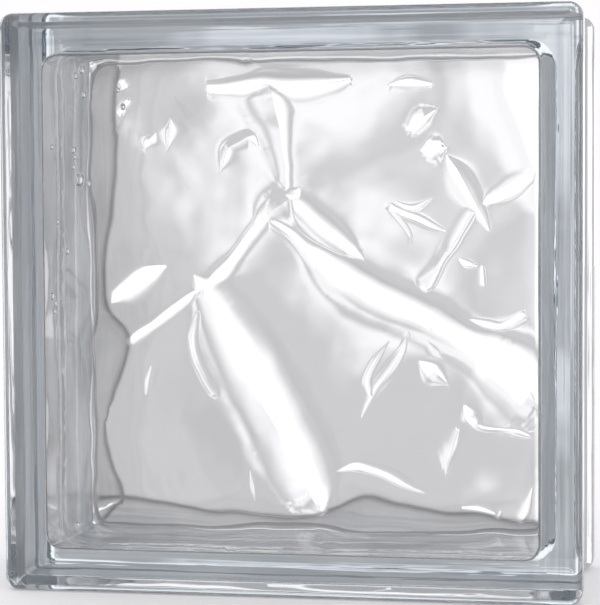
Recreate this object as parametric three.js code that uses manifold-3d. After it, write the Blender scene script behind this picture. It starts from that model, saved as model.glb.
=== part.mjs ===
// A hollow glass block for walls and partitions: two pressed glass halves, fused rim to rim.
// Millimetres. X is the width, Y the thickness with the front face at -Y, and Z points up.
// The origin is at the middle of the underside, on the surface that the block stands on.
import * as THREE from "three";
import { mergeVertices } from "three/addons/utils/BufferGeometryUtils.js";
import Module from "manifold-3d";

// The block's outside.
const BLOCK_WIDTH = 190;
const BLOCK_HEIGHT = 190;
const BLOCK_THICKNESS = 80;
const CORNER_RADIUS = 4.5; // upright corner edges, seen from the front
const FACE_EDGE_RADIUS = 4; // from a face round onto its rim
const RIM_LAND = 9; // flat bed of the rim, which is laid on the joint or the floor
const RIM_SHOULDER = 7; // slope from the rim's bed down into the mortar channel
const CHANNEL_DEPTH = 3.5; // how far the channel lies below the rim's bed
const SEAM_BEAD_HEIGHT = 1.2; // glass squeezed out where the two halves are fused
const SEAM_BEAD_WIDTH = 7; // across both halves

// The cavity that the press plunger leaves in each half.
const FACE_GLASS = 8; // mean thickness of the pane
const THINNEST_GLASS = 5; // the relief never cuts deeper than this into a pane
const RIM_WALL = 13; // from the outside of the rim to the cavity, at the pane
const DRAFT = 3.5; // how far the side walls open out from the pane to the seam
const CAVITY_CORNER_RADIUS = 6;
const CAVITY_FILLET = 2.5; // across the pane, where it turns into the side walls
const STEEPEST_START = 1.5; // the greatest slope of the relief that a fillet carries on from
const SLOPE_STEP = 0.3; // over which that slope is measured
const SMALLEST_RADIUS = 1.5; // no upright corner is sharper, in or out
const CORNER_STEPS = 5;
const EDGE_STEPS = 4;
const FILLET_CELLS = 3; // of the cells across a pane, the ones in the fillet on each side
const WALL_CELLS = 3;
const SNAP_SHARE = 0.42; // of a cell: points this close to a crest are moved onto it
const NEARLY_ON = 1e-6; // shares this little under a border count as on it
const PLUNGER_CLEAR = 5; // the plunger runs this far past the seam, so that the mouth is clean

// The relief pressed into the inner faces is a net of folds on a slow swell, with banks at some walls.
// All of it is measured from the middle of the pane, seen from the front.
// A fold runs along a curve through its points, [x, z, half width].
// Its flanks fall away from the crest at the slopes given for the left and the right side of the run.
// A bank slopes down from a wall, which lies the given way, [x, z], to a wandering foot.
// The foot goes through its points, [place along the wall, distance from the wall].
const SWELL_HEIGHT = 0.3;
const SWELL_LENGTH = 78;
const NARROWEST_FOLD = 0.5; // the least half width that the rounding of a fold's feet is taken from
const MERGING = 3; // how sharply one form of the relief passes into the next
const CURVE_SAMPLES = 24;
const BACK_FOLDS = [
  {
    name: "crown",
    run: [
      [-11.8, 34.7, 2.5], [-11.8, 43.1, 2.1], [-13.2, 50.8, 2.3], [-13.8, 57.8, 3.2],
      [-14.5, 64.1, 4.7], [-15.6, 69.1, 5.4],
    ],
    slopes: [0.41, 0.43],
  },
  {
    name: "crown_band",
    run: [
      [-40.4, 72.6, 1.4], [-31, 73.1, 2.9], [-20.2, 73, 3.9], [-8.7, 72.8, 3.9], [1.6, 73.7, 3.2],
      [9, 75, 1.4],
    ],
    slopes: [0.83, 0.49],
  },
  { name: "hub", run: [[-18.3, 28.4, 4.7], [-13.3, 32.2, 5.4]], slopes: [0.67, 0.7] },
  {
    name: "lens",
    run: [[-10.4, 32.6, 3.2], [-4, 27.3, 3.9], [4.2, 20.9, 3.9], [9.5, 16.7, 2.9], [13, 14.3, 1.4]],
    slopes: [0.77, 0.59],
  },
  {
    name: "left_branch",
    run: [
      [-19.8, 27, 2.1], [-26.7, 18.9, 1.8], [-32.2, 11.8, 2.1], [-36.9, 6.5, 2.5],
      [-42.1, 2.2, 2.5], [-47.6, -1, 2], [-57.1, -7.5, 1.8], [-70.1, -16.9, 1.4],
    ],
    slopes: [0.54, 0.73],
  },
  {
    name: "broad_band",
    run: [
      [-41, 1.5, 5], [-35.2, -7.7, 7.2], [-28.8, -20.5, 9.3], [-22.4, -35.7, 10.4],
      [-13.8, -51.6, 10.4], [-7.7, -64.2, 9.3], [-3.8, -72.7, 7.2],
    ],
    slopes: [0.45, 0.48],
  },
  {
    name: "band_left",
    run: [[-44.7, -7.8, 2.1], [-46.6, -16.3, 2.1], [-44.8, -25.6, 1.8], [-39.1, -34.8, 2.5]],
    slopes: [0.36, 0.5],
  },
  {
    name: "long_diagonal",
    run: [
      [-17.6, 25.5, 1.4], [-10.5, 20.6, 1.8], [-3.4, 14.3, 2.9], [6.6, 6.6, 5.7], [20.7, -1.8, 6.4],
      [38.3, -10.1, 6.1], [52.3, -17.3, 5], [62.7, -21.8, 7.2], [75.1, -29.3, 9.3],
    ],
    slopes: [0.74, 0.63],
  },
  {
    name: "diagonal_end",
    run: [[66.8, -26.6, 3.6], [71.7, -34.9, 4.3], [75.8, -43.1, 2.9]],
    slopes: [0.73, 0.22],
  },
  {
    name: "right_brace",
    run: [[36.6, 3.8, 2.9], [41.9, 12.9, 2.1], [47.1, 21.2, 1.8], [51.6, 28.5, 1.8]],
    slopes: [0.3, 0.68],
  },
  {
    name: "brace_head",
    run: [[47.2, 43.4, 3.2], [49.9, 37.8, 4.7], [53.4, 32.3, 5], [55.8, 27.4, 2.5], [57.9, 22.6, 1.8]],
    slopes: [0.67, 0.27],
  },
  {
    name: "bank_arm",
    run: [[71.7, 39.7, 3.2], [64.1, 36.3, 2.9], [57.2, 33.3, 1.8]],
    slopes: [0.64, 0.51],
  },
  {
    name: "low_arc",
    run: [[53.7, -8.3, 0.7], [58.9, -10, 1.4], [64.4, -10.3, 1.4], [71, -7.1, 1.4]],
    slopes: [0.62, 0.71],
  },
  {
    name: "loop_right",
    run: [[29.5, -14.4, 1.4], [27.4, -21, 1.4], [23.5, -28.1, 1.6], [18.5, -34.8, 1.1], [14.9, -42.6, 0.4]],
    slopes: [0.59, 0.35],
  },
  {
    name: "below_diagonal",
    run: [[35.1, -24.5, 0.7], [39.7, -27.9, 2.5], [44.2, -31.7, 0.4]],
    slopes: [0.73, 0.44],
  },
  {
    name: "corner_glint",
    run: [[62.7, -71.2, 0.7], [69.6, -73.9, 3.2], [75.1, -76.6, 2.9]],
    slopes: [0.49, 0.5],
  },
  {
    name: "left_patch",
    run: [[-74.4, -0.8, 2.9], [-70.3, 3.2, 3.2], [-65.1, 7.1, 2.9], [-59.9, 9.3, 1.8]],
    slopes: [0.81, 0.52],
  },
  {
    name: "lower_spot",
    run: [[46.3, -48.5, 1.4], [44.5, -54.1, 2.1], [42.8, -60.1, 0.7]],
    slopes: [0.6, 0.27],
  },
  {
    name: "right_spot",
    run: [
      [50.1, -39.7, 0.7], [51.9, -42.8, 2.1], [54.3, -46.6, 1.1], [63, -47.2, 0.9],
      [68.2, -48.1, 1.4], [73.1, -49.4, 0.4],
    ],
    slopes: [0.57, 0.54],
  },
  {
    name: "bent_patch",
    run: [[-35.5, 46.1, 1.4], [-34, 51.7, 2.1], [-29, 54.5, 2.5]],
    slopes: [0.58, 0.48],
  },
  {
    name: "patch_right",
    run: [[32.5, 57.3, 1.8], [36, 61.4, 2.5], [39.9, 63.5, 0.7]],
    slopes: [0.44, 0.68],
  },
  { name: "round_spot", run: [[39.2, 50, 3.2], [40.6, 50, 3.2]], slopes: [0.77, 0.55] },
];
const BACK_BANKS = [
  {
    wall: [-1, 0],
    slope: 0.8,
    footRound: 0.15,
    foot: [
      [-82, 8.8], [-52.6, 4.1], [-38.1, 6.1], [-29.1, 8.4], [-17.6, 11.5], [-12.9, 9.7],
      [-5.8, 4.2], [3.2, 2.8], [15.7, 3.7], [28.2, 6.4], [44.3, 8], [58.5, 8.6], [69.1, 7.9],
      [82, 7.9],
    ],
  },
  {
    wall: [0, -1],
    slope: 1,
    footRound: 0.15,
    foot: [
      [-82, 8.8], [-59.2, 8.1], [-37.2, 5.7], [-11.8, 2.5], [2.6, 5.2], [16.9, 10.8], [27.6, 10.3],
      [41.7, 7.1], [55.7, 6], [66.1, 3.8], [82, 2.5],
    ],
  },
  {
    wall: [1, 0],
    slope: 0.22,
    footRound: 1.6,
    foot: [
      [-91.9, 0.7], [-50.1, 1.1], [-36.2, 2.2], [-15.4, 3.2], [-1.6, 2.5], [15.7, 3.2], [26.3, 4.3],
      [32.9, 9.3], [44.9, 12.2], [58.6, 16.1], [68.8, 18.6], [78.8, 18.6],
    ],
  },
];
const FRONT_FOLDS = [
  {
    name: "upper_left",
    run: [[-61.5, 66.4, 3.3], [-41.4, 62.9, 9.8], [-14.7, 78.6, 3.9]],
    slopes: [0.07, 0.07],
  },
  { name: "middle", run: [[4.8, 59.1, 3.3], [17.7, 33.4, 11.8], [46.6, 17.4, 5.2]], slopes: [0.05, 0.05] },
  {
    name: "lower_left",
    run: [[-55.9, -38.3, 4.6], [-32.3, -47.8, 11.1], [-19.2, -77, 4.6]],
    slopes: [0.06, 0.06],
  },
  {
    name: "lower_right",
    run: [[13.9, -76.2, 4.6], [43.2, -52.9, 11.1], [75.2, -52.3, 5.2]],
    slopes: [0.06, 0.06],
  },
];

// A relief has a number of cells across its pane, how round its crests are, and which share of a fold's
// half width its feet are rounded over.
const BACK_RELIEF = { folds: BACK_FOLDS, banks: BACK_BANKS, cells: 62, crestRound: 0.1, footShare: 0.22 };
const FRONT_RELIEF = { folds: FRONT_FOLDS, banks: [], cells: 28, crestRound: 4, footShare: 0.4 };

const HALF_DEPTH = BLOCK_THICKNESS / 2;
const RIGHT_ANGLE = Math.PI / 2;

const wasm = await Module();
wasm.setup();

/** Turns a closed three.js geometry into a manifold-3d solid. */
function solidOf(geometry) {
  const bare = geometry.clone();
  bare.deleteAttribute("normal");
  bare.deleteAttribute("uv");
  const merged = mergeVertices(bare, 1e-4);
  return new wasm.Manifold(
    new wasm.Mesh({
      numProp: 3,
      vertProperties: new Float32Array(merged.attributes.position.array),
      triVerts: new Uint32Array(merged.index.array),
    }),
  );
}

/** Turns a manifold-3d solid back into a three.js geometry. */
function geometryOf(solid) {
  const mesh = solid.getMesh();
  const geometry = new THREE.BufferGeometry();
  geometry.setAttribute("position", new THREE.BufferAttribute(mesh.vertProperties, 3));
  geometry.setIndex(new THREE.BufferAttribute(mesh.triVerts, 1));
  geometry.computeVertexNormals();
  return geometry;
}

/** Half a block's outer outline, as [depth from the face, inset from the rim's bed] pairs. */
function sideProfile() {
  const profile = new THREE.Path();
  const shoulderEnd = FACE_EDGE_RADIUS + RIM_LAND + RIM_SHOULDER;
  const beadStart = HALF_DEPTH - SEAM_BEAD_WIDTH / 2;
  profile.absarc(FACE_EDGE_RADIUS, FACE_EDGE_RADIUS, FACE_EDGE_RADIUS, Math.PI, -RIGHT_ANGLE, false);
  profile.lineTo(FACE_EDGE_RADIUS + RIM_LAND, 0);
  profile.lineTo(shoulderEnd, CHANNEL_DEPTH);
  profile.lineTo(beadStart, CHANNEL_DEPTH);
  profile.quadraticCurveTo(
    beadStart + SEAM_BEAD_WIDTH / 4,
    CHANNEL_DEPTH - SEAM_BEAD_HEIGHT,
    HALF_DEPTH,
    CHANNEL_DEPTH - SEAM_BEAD_HEIGHT,
  );
  return profile.getPoints(EDGE_STEPS);
}

/** The block's outline at an inset from the rim's bed, as [x, z] points round its middle. */
function outlineAt(inset) {
  const radius = Math.max(CORNER_RADIUS - inset, SMALLEST_RADIUS);
  const right = BLOCK_WIDTH / 2 - inset - radius;
  const top = BLOCK_HEIGHT / 2 - inset - radius;
  const centres = [[right, top], [-right, top], [-right, -top], [right, -top]];
  return centres.flatMap(([x, z], corner) =>
    Array.from({ length: CORNER_STEPS + 1 }, (_, step) => {
      const angle = RIGHT_ANGLE * (corner + step / CORNER_STEPS);
      return [x + radius * Math.cos(angle), z + radius * Math.sin(angle)];
    }),
  );
}

/** The outside of a half as a loft of outlines from its face at -Y to the seam at Y = 0. */
function outerBody() {
  const profile = sideProfile();
  const rings = profile.map((point) => outlineAt(point.y));
  const count = rings[0].length;
  const corners = rings.flatMap((ring, row) => ring.map(([x, z]) => [x, profile[row].x - HALF_DEPTH, z]));
  const triangles = [];
  for (let row = 0; row + 1 < rings.length; row++) {
    for (let i = 0; i < count; i++) {
      const a = row * count + i;
      const b = row * count + ((i + 1) % count);
      triangles.push(a, a + count, b, b, a + count, b + count);
    }
  }
  const last = (rings.length - 1) * count;
  for (let i = 1; i + 1 < count; i++) {
    triangles.push(0, i, i + 1);
    triangles.push(last, last + i + 1, last + i);
  }
  const geometry = new THREE.BufferGeometry();
  geometry.setAttribute("position", new THREE.Float32BufferAttribute(corners.flat(), 3));
  geometry.setIndex(triangles);
  return geometry;
}

/** Samples each fold's curve once, with both ends drawn out to where the fold has died away. */
function sampleFolds(folds) {
  return folds.map((fold) => {
    const run = fold.run.map(([x, z, halfWidth]) => new THREE.Vector3(x, z, halfWidth));
    const capped = [capBeyond(run[0], run[1]), ...run, capBeyond(run.at(-1), run.at(-2))];
    const points = new THREE.CatmullRomCurve3(capped, false, "catmullrom").getPoints(CURVE_SAMPLES);
    return { ...fold, points };
  });
}

/** The point of no width that ends a fold, as far beyond its last point as that one is half wide. */
function capBeyond(end, before) {
  const away = new THREE.Vector3(end.x - before.x, end.y - before.y, 0).setLength(end.z);
  return new THREE.Vector3(end.x + away.x, end.y + away.y, 0);
}

/** Where a point lies in a fold's section: its offset to the right of the run, and the half width there. */
function sectionAt(fold, at) {
  const nearest = { distance: Infinity };
  for (let i = 0; i < CURVE_SAMPLES; i++) {
    const [start, end] = [fold.points[i], fold.points[i + 1]];
    const span = new THREE.Vector2(end.x - start.x, end.y - start.y);
    const from = new THREE.Vector2(at.x - start.x, at.y - start.y);
    const along = THREE.MathUtils.clamp(from.dot(span) / span.lengthSq(), 0, 1);
    const distance = from.distanceTo(span.clone().multiplyScalar(along));
    if (distance < nearest.distance) {
      nearest.distance = distance;
      nearest.offset = Math.sign(from.cross(span)) * distance;
      nearest.halfWidth = THREE.MathUtils.lerp(start.z, end.z, along);
      nearest.right = new THREE.Vector2(span.y, -span.x).normalize();
    }
  }
  return nearest;
}

/** Keeps a height above 0, with a round foot where it would pass below. */
function aboveZero(height, rounding) {
  return Math.max(height, 0) + rounding * Math.log1p(Math.exp(-Math.abs(height) / rounding));
}

/** The lesser of two heights, with a round crest where they meet. */
function roundedLesser(left, right, rounding) {
  return Math.min(left, right) - rounding * Math.log1p(Math.exp(-Math.abs(left - right) / rounding));
}

/** How high a fold stands at a point of the pane. */
function foldHeight(fold, { crestRound, footShare }, at) {
  const { offset, halfWidth } = sectionAt(fold, at);
  const [left, right] = fold.slopes;
  const slope = (left + right) / 2;
  const roof = roundedLesser(left * (halfWidth + offset), right * (halfWidth - offset), crestRound * slope);
  return aboveZero(roof, footShare * slope * Math.max(halfWidth, NARROWEST_FOLD));
}

/** How high a bank stands at a point of the pane. */
function bankHeight({ wall, foot, slope, footRound }, at) {
  const place = wall[0] ? at.y : at.x;
  const after = foot.findIndex((knot, i) => i > 0 && (place <= knot[0] || i === foot.length - 1));
  const [[start, near], [end, far]] = [foot[after - 1], foot[after]];
  const distance = THREE.MathUtils.mapLinear(place, start, end, near, far);
  const climb = distance - (BLOCK_WIDTH / 2 - RIM_WALL) + at.x * wall[0] + at.y * wall[1];
  return slope * aboveZero(climb, footRound);
}

/** How deep the pane's inner face lies below its outer face at a point. */
function paneDepth(relief, at) {
  const turn = (2 * Math.PI) / SWELL_LENGTH;
  const swell = SWELL_HEIGHT * Math.sin(turn * at.x + 1) * Math.cos(turn * at.y);
  const folds = relief.folds.map((fold) => foldHeight(fold, relief, at));
  const banks = relief.banks.map((bank) => bankHeight(bank, at));
  const forms = [...folds, ...banks].reduce((sum, height) => sum + height ** MERGING, 0) ** (1 / MERGING);
  return Math.max(FACE_GLASS + swell + forms, THINNEST_GLASS);
}

/** Moves a point of the pane onto a fold's crest if one passes close by, so that facets meet along it. */
function ontoCrest(relief, at, reach) {
  for (const fold of relief.folds) {
    const { distance, offset, halfWidth, right } = sectionAt(fold, at);
    const [leftSlope, rightSlope] = fold.slopes;
    const crest = (halfWidth * (rightSlope - leftSlope)) / (rightSlope + leftSlope);
    if (distance < halfWidth && Math.abs(crest - offset) < reach) {
      return at.addScaledVector(right, crest - offset);
    }
  }
  return at;
}

/** A point on the cavity's outline at an inset from the rim's bed, drawn towards the middle by a scale. */
function onCavityOutline(across, up, inset, scale) {
  const reach = Math.max(Math.abs(across), Math.abs(up));
  if (reach === 0) {
    return new THREE.Vector2(0, 0);
  }
  const radius = Math.max(CAVITY_CORNER_RADIUS + RIM_WALL - inset, SMALLEST_RADIUS);
  const centreX = BLOCK_WIDTH / 2 - inset - radius;
  const centreZ = BLOCK_HEIGHT / 2 - inset - radius;
  const past = new THREE.Vector2(
    (Math.abs(across) / reach) * (centreX + radius) - centreX,
    (Math.abs(up) / reach) * (centreZ + radius) - centreZ,
  );
  if (past.x > 0 && past.y > 0) {
    past.setLength(radius);
  }
  const point = new THREE.Vector2(Math.sign(across) * (centreX + past.x), Math.sign(up) * (centreZ + past.y));
  return point.multiplyScalar(scale);
}

/** A point of the pane's part of the plunger's end. */
function panePoint(across, up, scale, relief) {
  const cell = (BLOCK_WIDTH - 2 * RIM_WALL) / relief.cells;
  const even = onCavityOutline(across, up, RIM_WALL + CAVITY_FILLET, scale);
  const at = ontoCrest(relief, even, SNAP_SHARE * cell);
  return new THREE.Vector3(at.x, paneDepth(relief, at) - HALF_DEPTH, at.y);
}

/** A point of the fillet, which carries on from the slope at the pane's border to the side walls. */
function filletPoint(across, up, share, relief) {
  const border = onCavityOutline(across, up, RIM_WALL + CAVITY_FILLET, 1);
  const inside = onCavityOutline(across, up, RIM_WALL + CAVITY_FILLET + SLOPE_STEP, 1);
  const start = paneDepth(relief, border);
  const slope = THREE.MathUtils.clamp((start - paneDepth(relief, inside)) / SLOPE_STEP, 0, STEEPEST_START);
  const firstBend = Math.atan(slope);
  const radius = CAVITY_FILLET / (1 - Math.sin(firstBend));
  const bend = THREE.MathUtils.lerp(firstBend, RIGHT_ANGLE, share);
  const at = onCavityOutline(across, up, RIM_WALL + radius * (1 - Math.sin(bend)), 1);
  const depth = start + radius * (Math.cos(firstBend) - Math.cos(bend));
  return new THREE.Vector3(at.x, depth - HALF_DEPTH, at.y);
}

/** A point of the plunger's end: the relief in the middle, then the fillet at its border. */
function endPoint(across, up, relief) {
  const reach = Math.max(Math.abs(across), Math.abs(up));
  const paneShare = 1 - (2 * FILLET_CELLS) / relief.cells;
  if (reach < paneShare - NEARLY_ON) {
    return panePoint(across, up, reach / paneShare, relief);
  }
  return filletPoint(across, up, (reach - paneShare) / (1 - paneShare), relief);
}

/** A point of the plunger's drafted side, or of its flat back past the seam. */
function sidePoint(across, up, toBack, relief) {
  const reach = Math.max(Math.abs(across), Math.abs(up));
  if (reach === 0) {
    return new THREE.Vector3(0, PLUNGER_CLEAR, 0);
  }
  const filletEnd = filletPoint(across / reach, up / reach, 1, relief).y;
  const y = THREE.MathUtils.lerp(filletEnd, PLUNGER_CLEAR, toBack);
  const opened = DRAFT * (1 - y / filletEnd);
  const at = onCavityOutline(across, up, RIM_WALL - opened, reach);
  return new THREE.Vector3(at.x, y, at.y);
}

/** Splits each four-sided cell of the pane along the diagonal that lies closer to the relief. */
function splitAlongCrests(geometry, relief) {
  const position = geometry.attributes.position;
  const index = geometry.index;
  const paneReach = BLOCK_WIDTH / 2 - RIM_WALL - CAVITY_FILLET;
  const missBetween = (first, second) => {
    const start = new THREE.Vector3().fromBufferAttribute(position, first);
    const middle = new THREE.Vector3().fromBufferAttribute(position, second).lerp(start, 0.5);
    const depth = paneDepth(relief, new THREE.Vector2(middle.x, middle.z));
    return Math.abs(depth - HALF_DEPTH - middle.y);
  };
  for (let i = 0; i < index.count; i += 6) {
    const [a, b, d] = [index.getX(i), index.getX(i + 1), index.getX(i + 2)];
    const c = index.getX(i + 4);
    const onPane = [a, b, c, d].every(
      (corner) =>
        position.getY(corner) < 0 &&
        Math.max(Math.abs(position.getX(corner)), Math.abs(position.getZ(corner))) < paneReach,
    );
    if (onPane && missBetween(a, c) < missBetween(b, d)) {
      [a, b, c, a, c, d].forEach((vertex, k) => index.setX(i + k, vertex));
    }
  }
}

/** The plunger that presses a half's cavity: a box whose end, sides and back are moved to their places. */
function plunger(relief) {
  const sampled = { ...relief, folds: sampleFolds(relief.folds) };
  const geometry = new THREE.BoxGeometry(2, 1, 2, relief.cells, WALL_CELLS, relief.cells);
  const position = geometry.attributes.position;
  for (let i = 0; i < position.count; i++) {
    const across = position.getX(i);
    const up = position.getZ(i);
    const toBack = position.getY(i) + 0.5;
    const point = toBack === 0 ? endPoint(across, up, sampled) : sidePoint(across, up, toBack, sampled);
    position.setXYZ(i, point.x, point.y, point.z);
  }
  splitAlongCrests(geometry, sampled);
  return geometry;
}

/** One pressed half with its face at -Y and its open side at the seam. */
function pressedHalf(relief) {
  return geometryOf(solidOf(outerBody()).subtract(solidOf(plunger(relief))));
}

/** The same relief as it lies once its half has been turned about its upright axis. */
function turnedAbout(relief) {
  const folds = relief.folds.map(({ run, slopes, ...rest }) => ({
    ...rest,
    run: run.map(([x, z, halfWidth]) => [-x, z, halfWidth]),
    slopes: slopes.toReversed(),
  }));
  const banks = relief.banks.map(({ wall, foot, ...rest }) => ({
    ...rest,
    wall: [-wall[0], wall[1]],
    foot: wall[0] ? foot : foot.map(([x, distance]) => [-x, distance]).toReversed(),
  }));
  return { ...relief, folds, banks };
}

const glass = new THREE.MeshStandardMaterial({
  color: 0xdfe9ea,
  roughness: 0.03,
  metalness: 0,
  transparent: true,
  opacity: 0.4,
});

const frontHalf = new THREE.Mesh(pressedHalf(FRONT_RELIEF), glass);
frontHalf.name = "front_half";

const backHalf = new THREE.Mesh(pressedHalf(turnedAbout(BACK_RELIEF)), glass.clone());
backHalf.name = "back_half";
backHalf.rotation.z = Math.PI;

const block = new THREE.Group();
block.name = "glass_block";
block.position.z = BLOCK_HEIGHT / 2;
block.add(frontHalf, backHalf);

export default block;
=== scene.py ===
"""Dresses the hollow glass block: one smooth body of fused pressed glass, its finish and its studio.

The block stands on its rims. X runs along its width, Y through its thickness from the front face to
the back face, and Z upwards. Sizes in the classes are in millimetres; meshes are made in metres.
"""

import logging
import math
from dataclasses import dataclass, field
from enum import Enum, IntEnum

import bpy
import numpy as np
from mathutils import Matrix, Vector
from mathutils.geometry import delaunay_2d_cdt
from mathutils.kdtree import KDTree


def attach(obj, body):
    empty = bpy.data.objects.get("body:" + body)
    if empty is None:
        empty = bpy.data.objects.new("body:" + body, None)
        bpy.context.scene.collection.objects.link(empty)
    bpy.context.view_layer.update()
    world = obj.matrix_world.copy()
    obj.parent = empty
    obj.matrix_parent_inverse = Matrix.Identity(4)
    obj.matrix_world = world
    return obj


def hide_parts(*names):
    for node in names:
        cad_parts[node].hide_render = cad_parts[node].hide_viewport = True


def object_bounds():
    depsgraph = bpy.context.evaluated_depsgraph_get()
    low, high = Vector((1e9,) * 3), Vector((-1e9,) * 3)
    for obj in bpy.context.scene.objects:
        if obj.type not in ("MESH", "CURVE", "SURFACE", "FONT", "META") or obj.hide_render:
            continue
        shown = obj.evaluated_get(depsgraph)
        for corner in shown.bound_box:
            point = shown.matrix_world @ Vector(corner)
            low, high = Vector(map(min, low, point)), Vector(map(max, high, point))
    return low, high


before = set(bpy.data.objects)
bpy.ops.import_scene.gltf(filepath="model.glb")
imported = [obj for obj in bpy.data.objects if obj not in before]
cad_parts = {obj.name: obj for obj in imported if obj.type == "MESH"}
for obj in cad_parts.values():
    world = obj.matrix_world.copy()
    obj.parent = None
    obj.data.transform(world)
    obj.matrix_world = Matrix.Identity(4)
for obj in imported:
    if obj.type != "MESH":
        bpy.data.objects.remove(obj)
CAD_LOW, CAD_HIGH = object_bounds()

LOG = logging.getLogger("glass_block")
MM = 0.001
RIGHT_ANGLE = math.pi / 2
TURN = 2 * math.pi
SEED = 7
# What the triangulation keeps, and how near to each other two points count as one
INSIDE_OUTLINE = 1
SAME_POINT = 1e-6
# The vertices' attribute that says how much the glass is shaded there
SHADE = "shade"


class Pane(Enum):
    """The two panes of the block, each with the side of the seam it lies on."""

    FRONT = -1
    BACK = 1


class Wall(Enum):
    """A side wall of the cavity, with the way to it across and up from the middle."""

    LEFT = (-1, 0)
    RIGHT = (1, 0)
    BOTTOM = (0, -1)
    TOP = (0, 1)


class Part(IntEnum):
    """The two kinds of surface of the body, by material slot."""

    CLEAR = 0
    SIDE = 1


# ---------------------------------------------------------------------------------------------
# Node trees
# ---------------------------------------------------------------------------------------------


class Graph:
    """The node tree of a material or a world."""

    def __init__(self, owner: bpy.types.Material | bpy.types.World) -> None:
        """Empties the owner's node tree.

        Args:
            owner: the material or world whose tree is built.
        """
        owner.use_nodes = True
        self.tree = owner.node_tree
        self.tree.nodes.clear()

    def make(self, kind: str, settings: dict | None = None, sockets: dict | None = None,
             output: str | int = 0) -> "Value":
        """Adds one node.

        Args:
            kind: the node's type.
            settings: its properties, which are set first.
            sockets: values or links for its inputs, by name or number.
            output: the output that is wanted, by name or number.

        Returns:
            The wanted output.
        """
        node = self.tree.nodes.new(kind)
        for name, setting in (settings or {}).items():
            setattr(node, name, setting)
        for name, given in (sockets or {}).items():
            if isinstance(given, Value):
                self.tree.links.new(given.socket, node.inputs[name])
            else:
                node.inputs[name].default_value = given
        return Value(self, node.outputs[output] if node.outputs else None)

    def place(self) -> tuple["Value", "Value", "Value"]:
        """Gives the place on the object as x, y and z, in millimetres."""
        spot = self.make("ShaderNodeTexCoord", output="Object")
        axes = (self.make("ShaderNodeSeparateXYZ", {}, {"Vector": spot}, axis) for axis in "XYZ")
        return tuple(axis * (1 / MM) for axis in axes)

    def streaks(self, x: "Value", y: "Value", z: "Value") -> "Value":
        """Draws streaks.

        Args:
            x: the place along x, counted in sizes of a streak.
            y: the place along y, counted in the same way.
            z: the place along z, counted in the same way.

        Returns:
            A noise of about 0.5, which wanders up and down from streak to streak.
        """
        spot = self.make("ShaderNodeCombineXYZ", {}, {"X": x, "Y": y, "Z": z})
        return self.make("ShaderNodeTexNoise", {"noise_dimensions": "3D"},
                         {"Vector": spot, "Scale": 1.0, "Detail": 2.0})

    def mix_colours(self, share: "Value", first: "Value | tuple", second: "Value | tuple") -> "Value":
        """Mixes two colours.

        Args:
            share: how much of the second colour is taken.
            first: the first colour.
            second: the second colour.

        Returns:
            The mixed colour.
        """
        return self.make("ShaderNodeMix", {"data_type": "RGBA"}, {0: share, 6: first, 7: second}, 2)


class Value:
    """One output in a graph. Python's operators on it add Math nodes."""

    def __init__(self, graph: Graph, socket: bpy.types.NodeSocket | None) -> None:
        """Wraps a socket of a graph."""
        self.graph = graph
        self.socket = socket

    def _math(self, operation: str, *values: "Value | float") -> "Value":
        """Adds a Math node on the given values."""
        return self.graph.make("ShaderNodeMath", {"operation": operation}, dict(enumerate(values)))

    def __add__(self, other: "Value | float") -> "Value":
        """Adds two values."""
        return self._math("ADD", self, other)

    __radd__ = __add__

    def __sub__(self, other: "Value | float") -> "Value":
        """Takes another value from this one."""
        return self._math("SUBTRACT", self, other)

    def __rsub__(self, other: "Value | float") -> "Value":
        """Takes this value from another one."""
        return self._math("SUBTRACT", other, self)

    def __mul__(self, other: "Value | float") -> "Value":
        """Multiplies two values."""
        return self._math("MULTIPLY", self, other)

    __rmul__ = __mul__

    def __or__(self, other: "Value") -> "Value":
        """Gives the larger of two masks."""
        return self._math("MAXIMUM", self, other)

    def bent(self, operation: str, *values: "Value | float") -> "Value":
        """Puts this value through any other Math operation.

        Args:
            operation: the Math node's operation.
            values: its other inputs.

        Returns:
            The result.
        """
        return self._math(operation, self, *values)

    def step(self, low: float, high: float) -> "Value":
        """Rises smoothly from 0 at a low value to 1 at a high one.

        Args:
            low: where the rise starts.
            high: where it ends.

        Returns:
            The mask.
        """
        ends = {"Value": self, "From Min": low, "From Max": high, "To Min": 0.0, "To Max": 1.0}
        return self.graph.make("ShaderNodeMapRange", {"interpolation_type": "SMOOTHSTEP"}, ends)

    def band(self, low: float, high: float, edge: float) -> "Value":
        """Is 1 between two values and 0 outside them, with soft edges.

        Args:
            low: where the band starts.
            high: where it ends.
            edge: half the width of each soft edge.

        Returns:
            The mask.
        """
        return self.step(low - edge, low + edge) * (1 - self.step(high - edge, high + edge))

    def towards(self, goal: float, share: "Value") -> "Value":
        """Mixes this value with a goal.

        Args:
            goal: the value at a share of 1.
            share: how much of the goal is taken.

        Returns:
            The mix.
        """
        return self + (goal - self) * share


# ---------------------------------------------------------------------------------------------
# Finishes
# ---------------------------------------------------------------------------------------------


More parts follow.
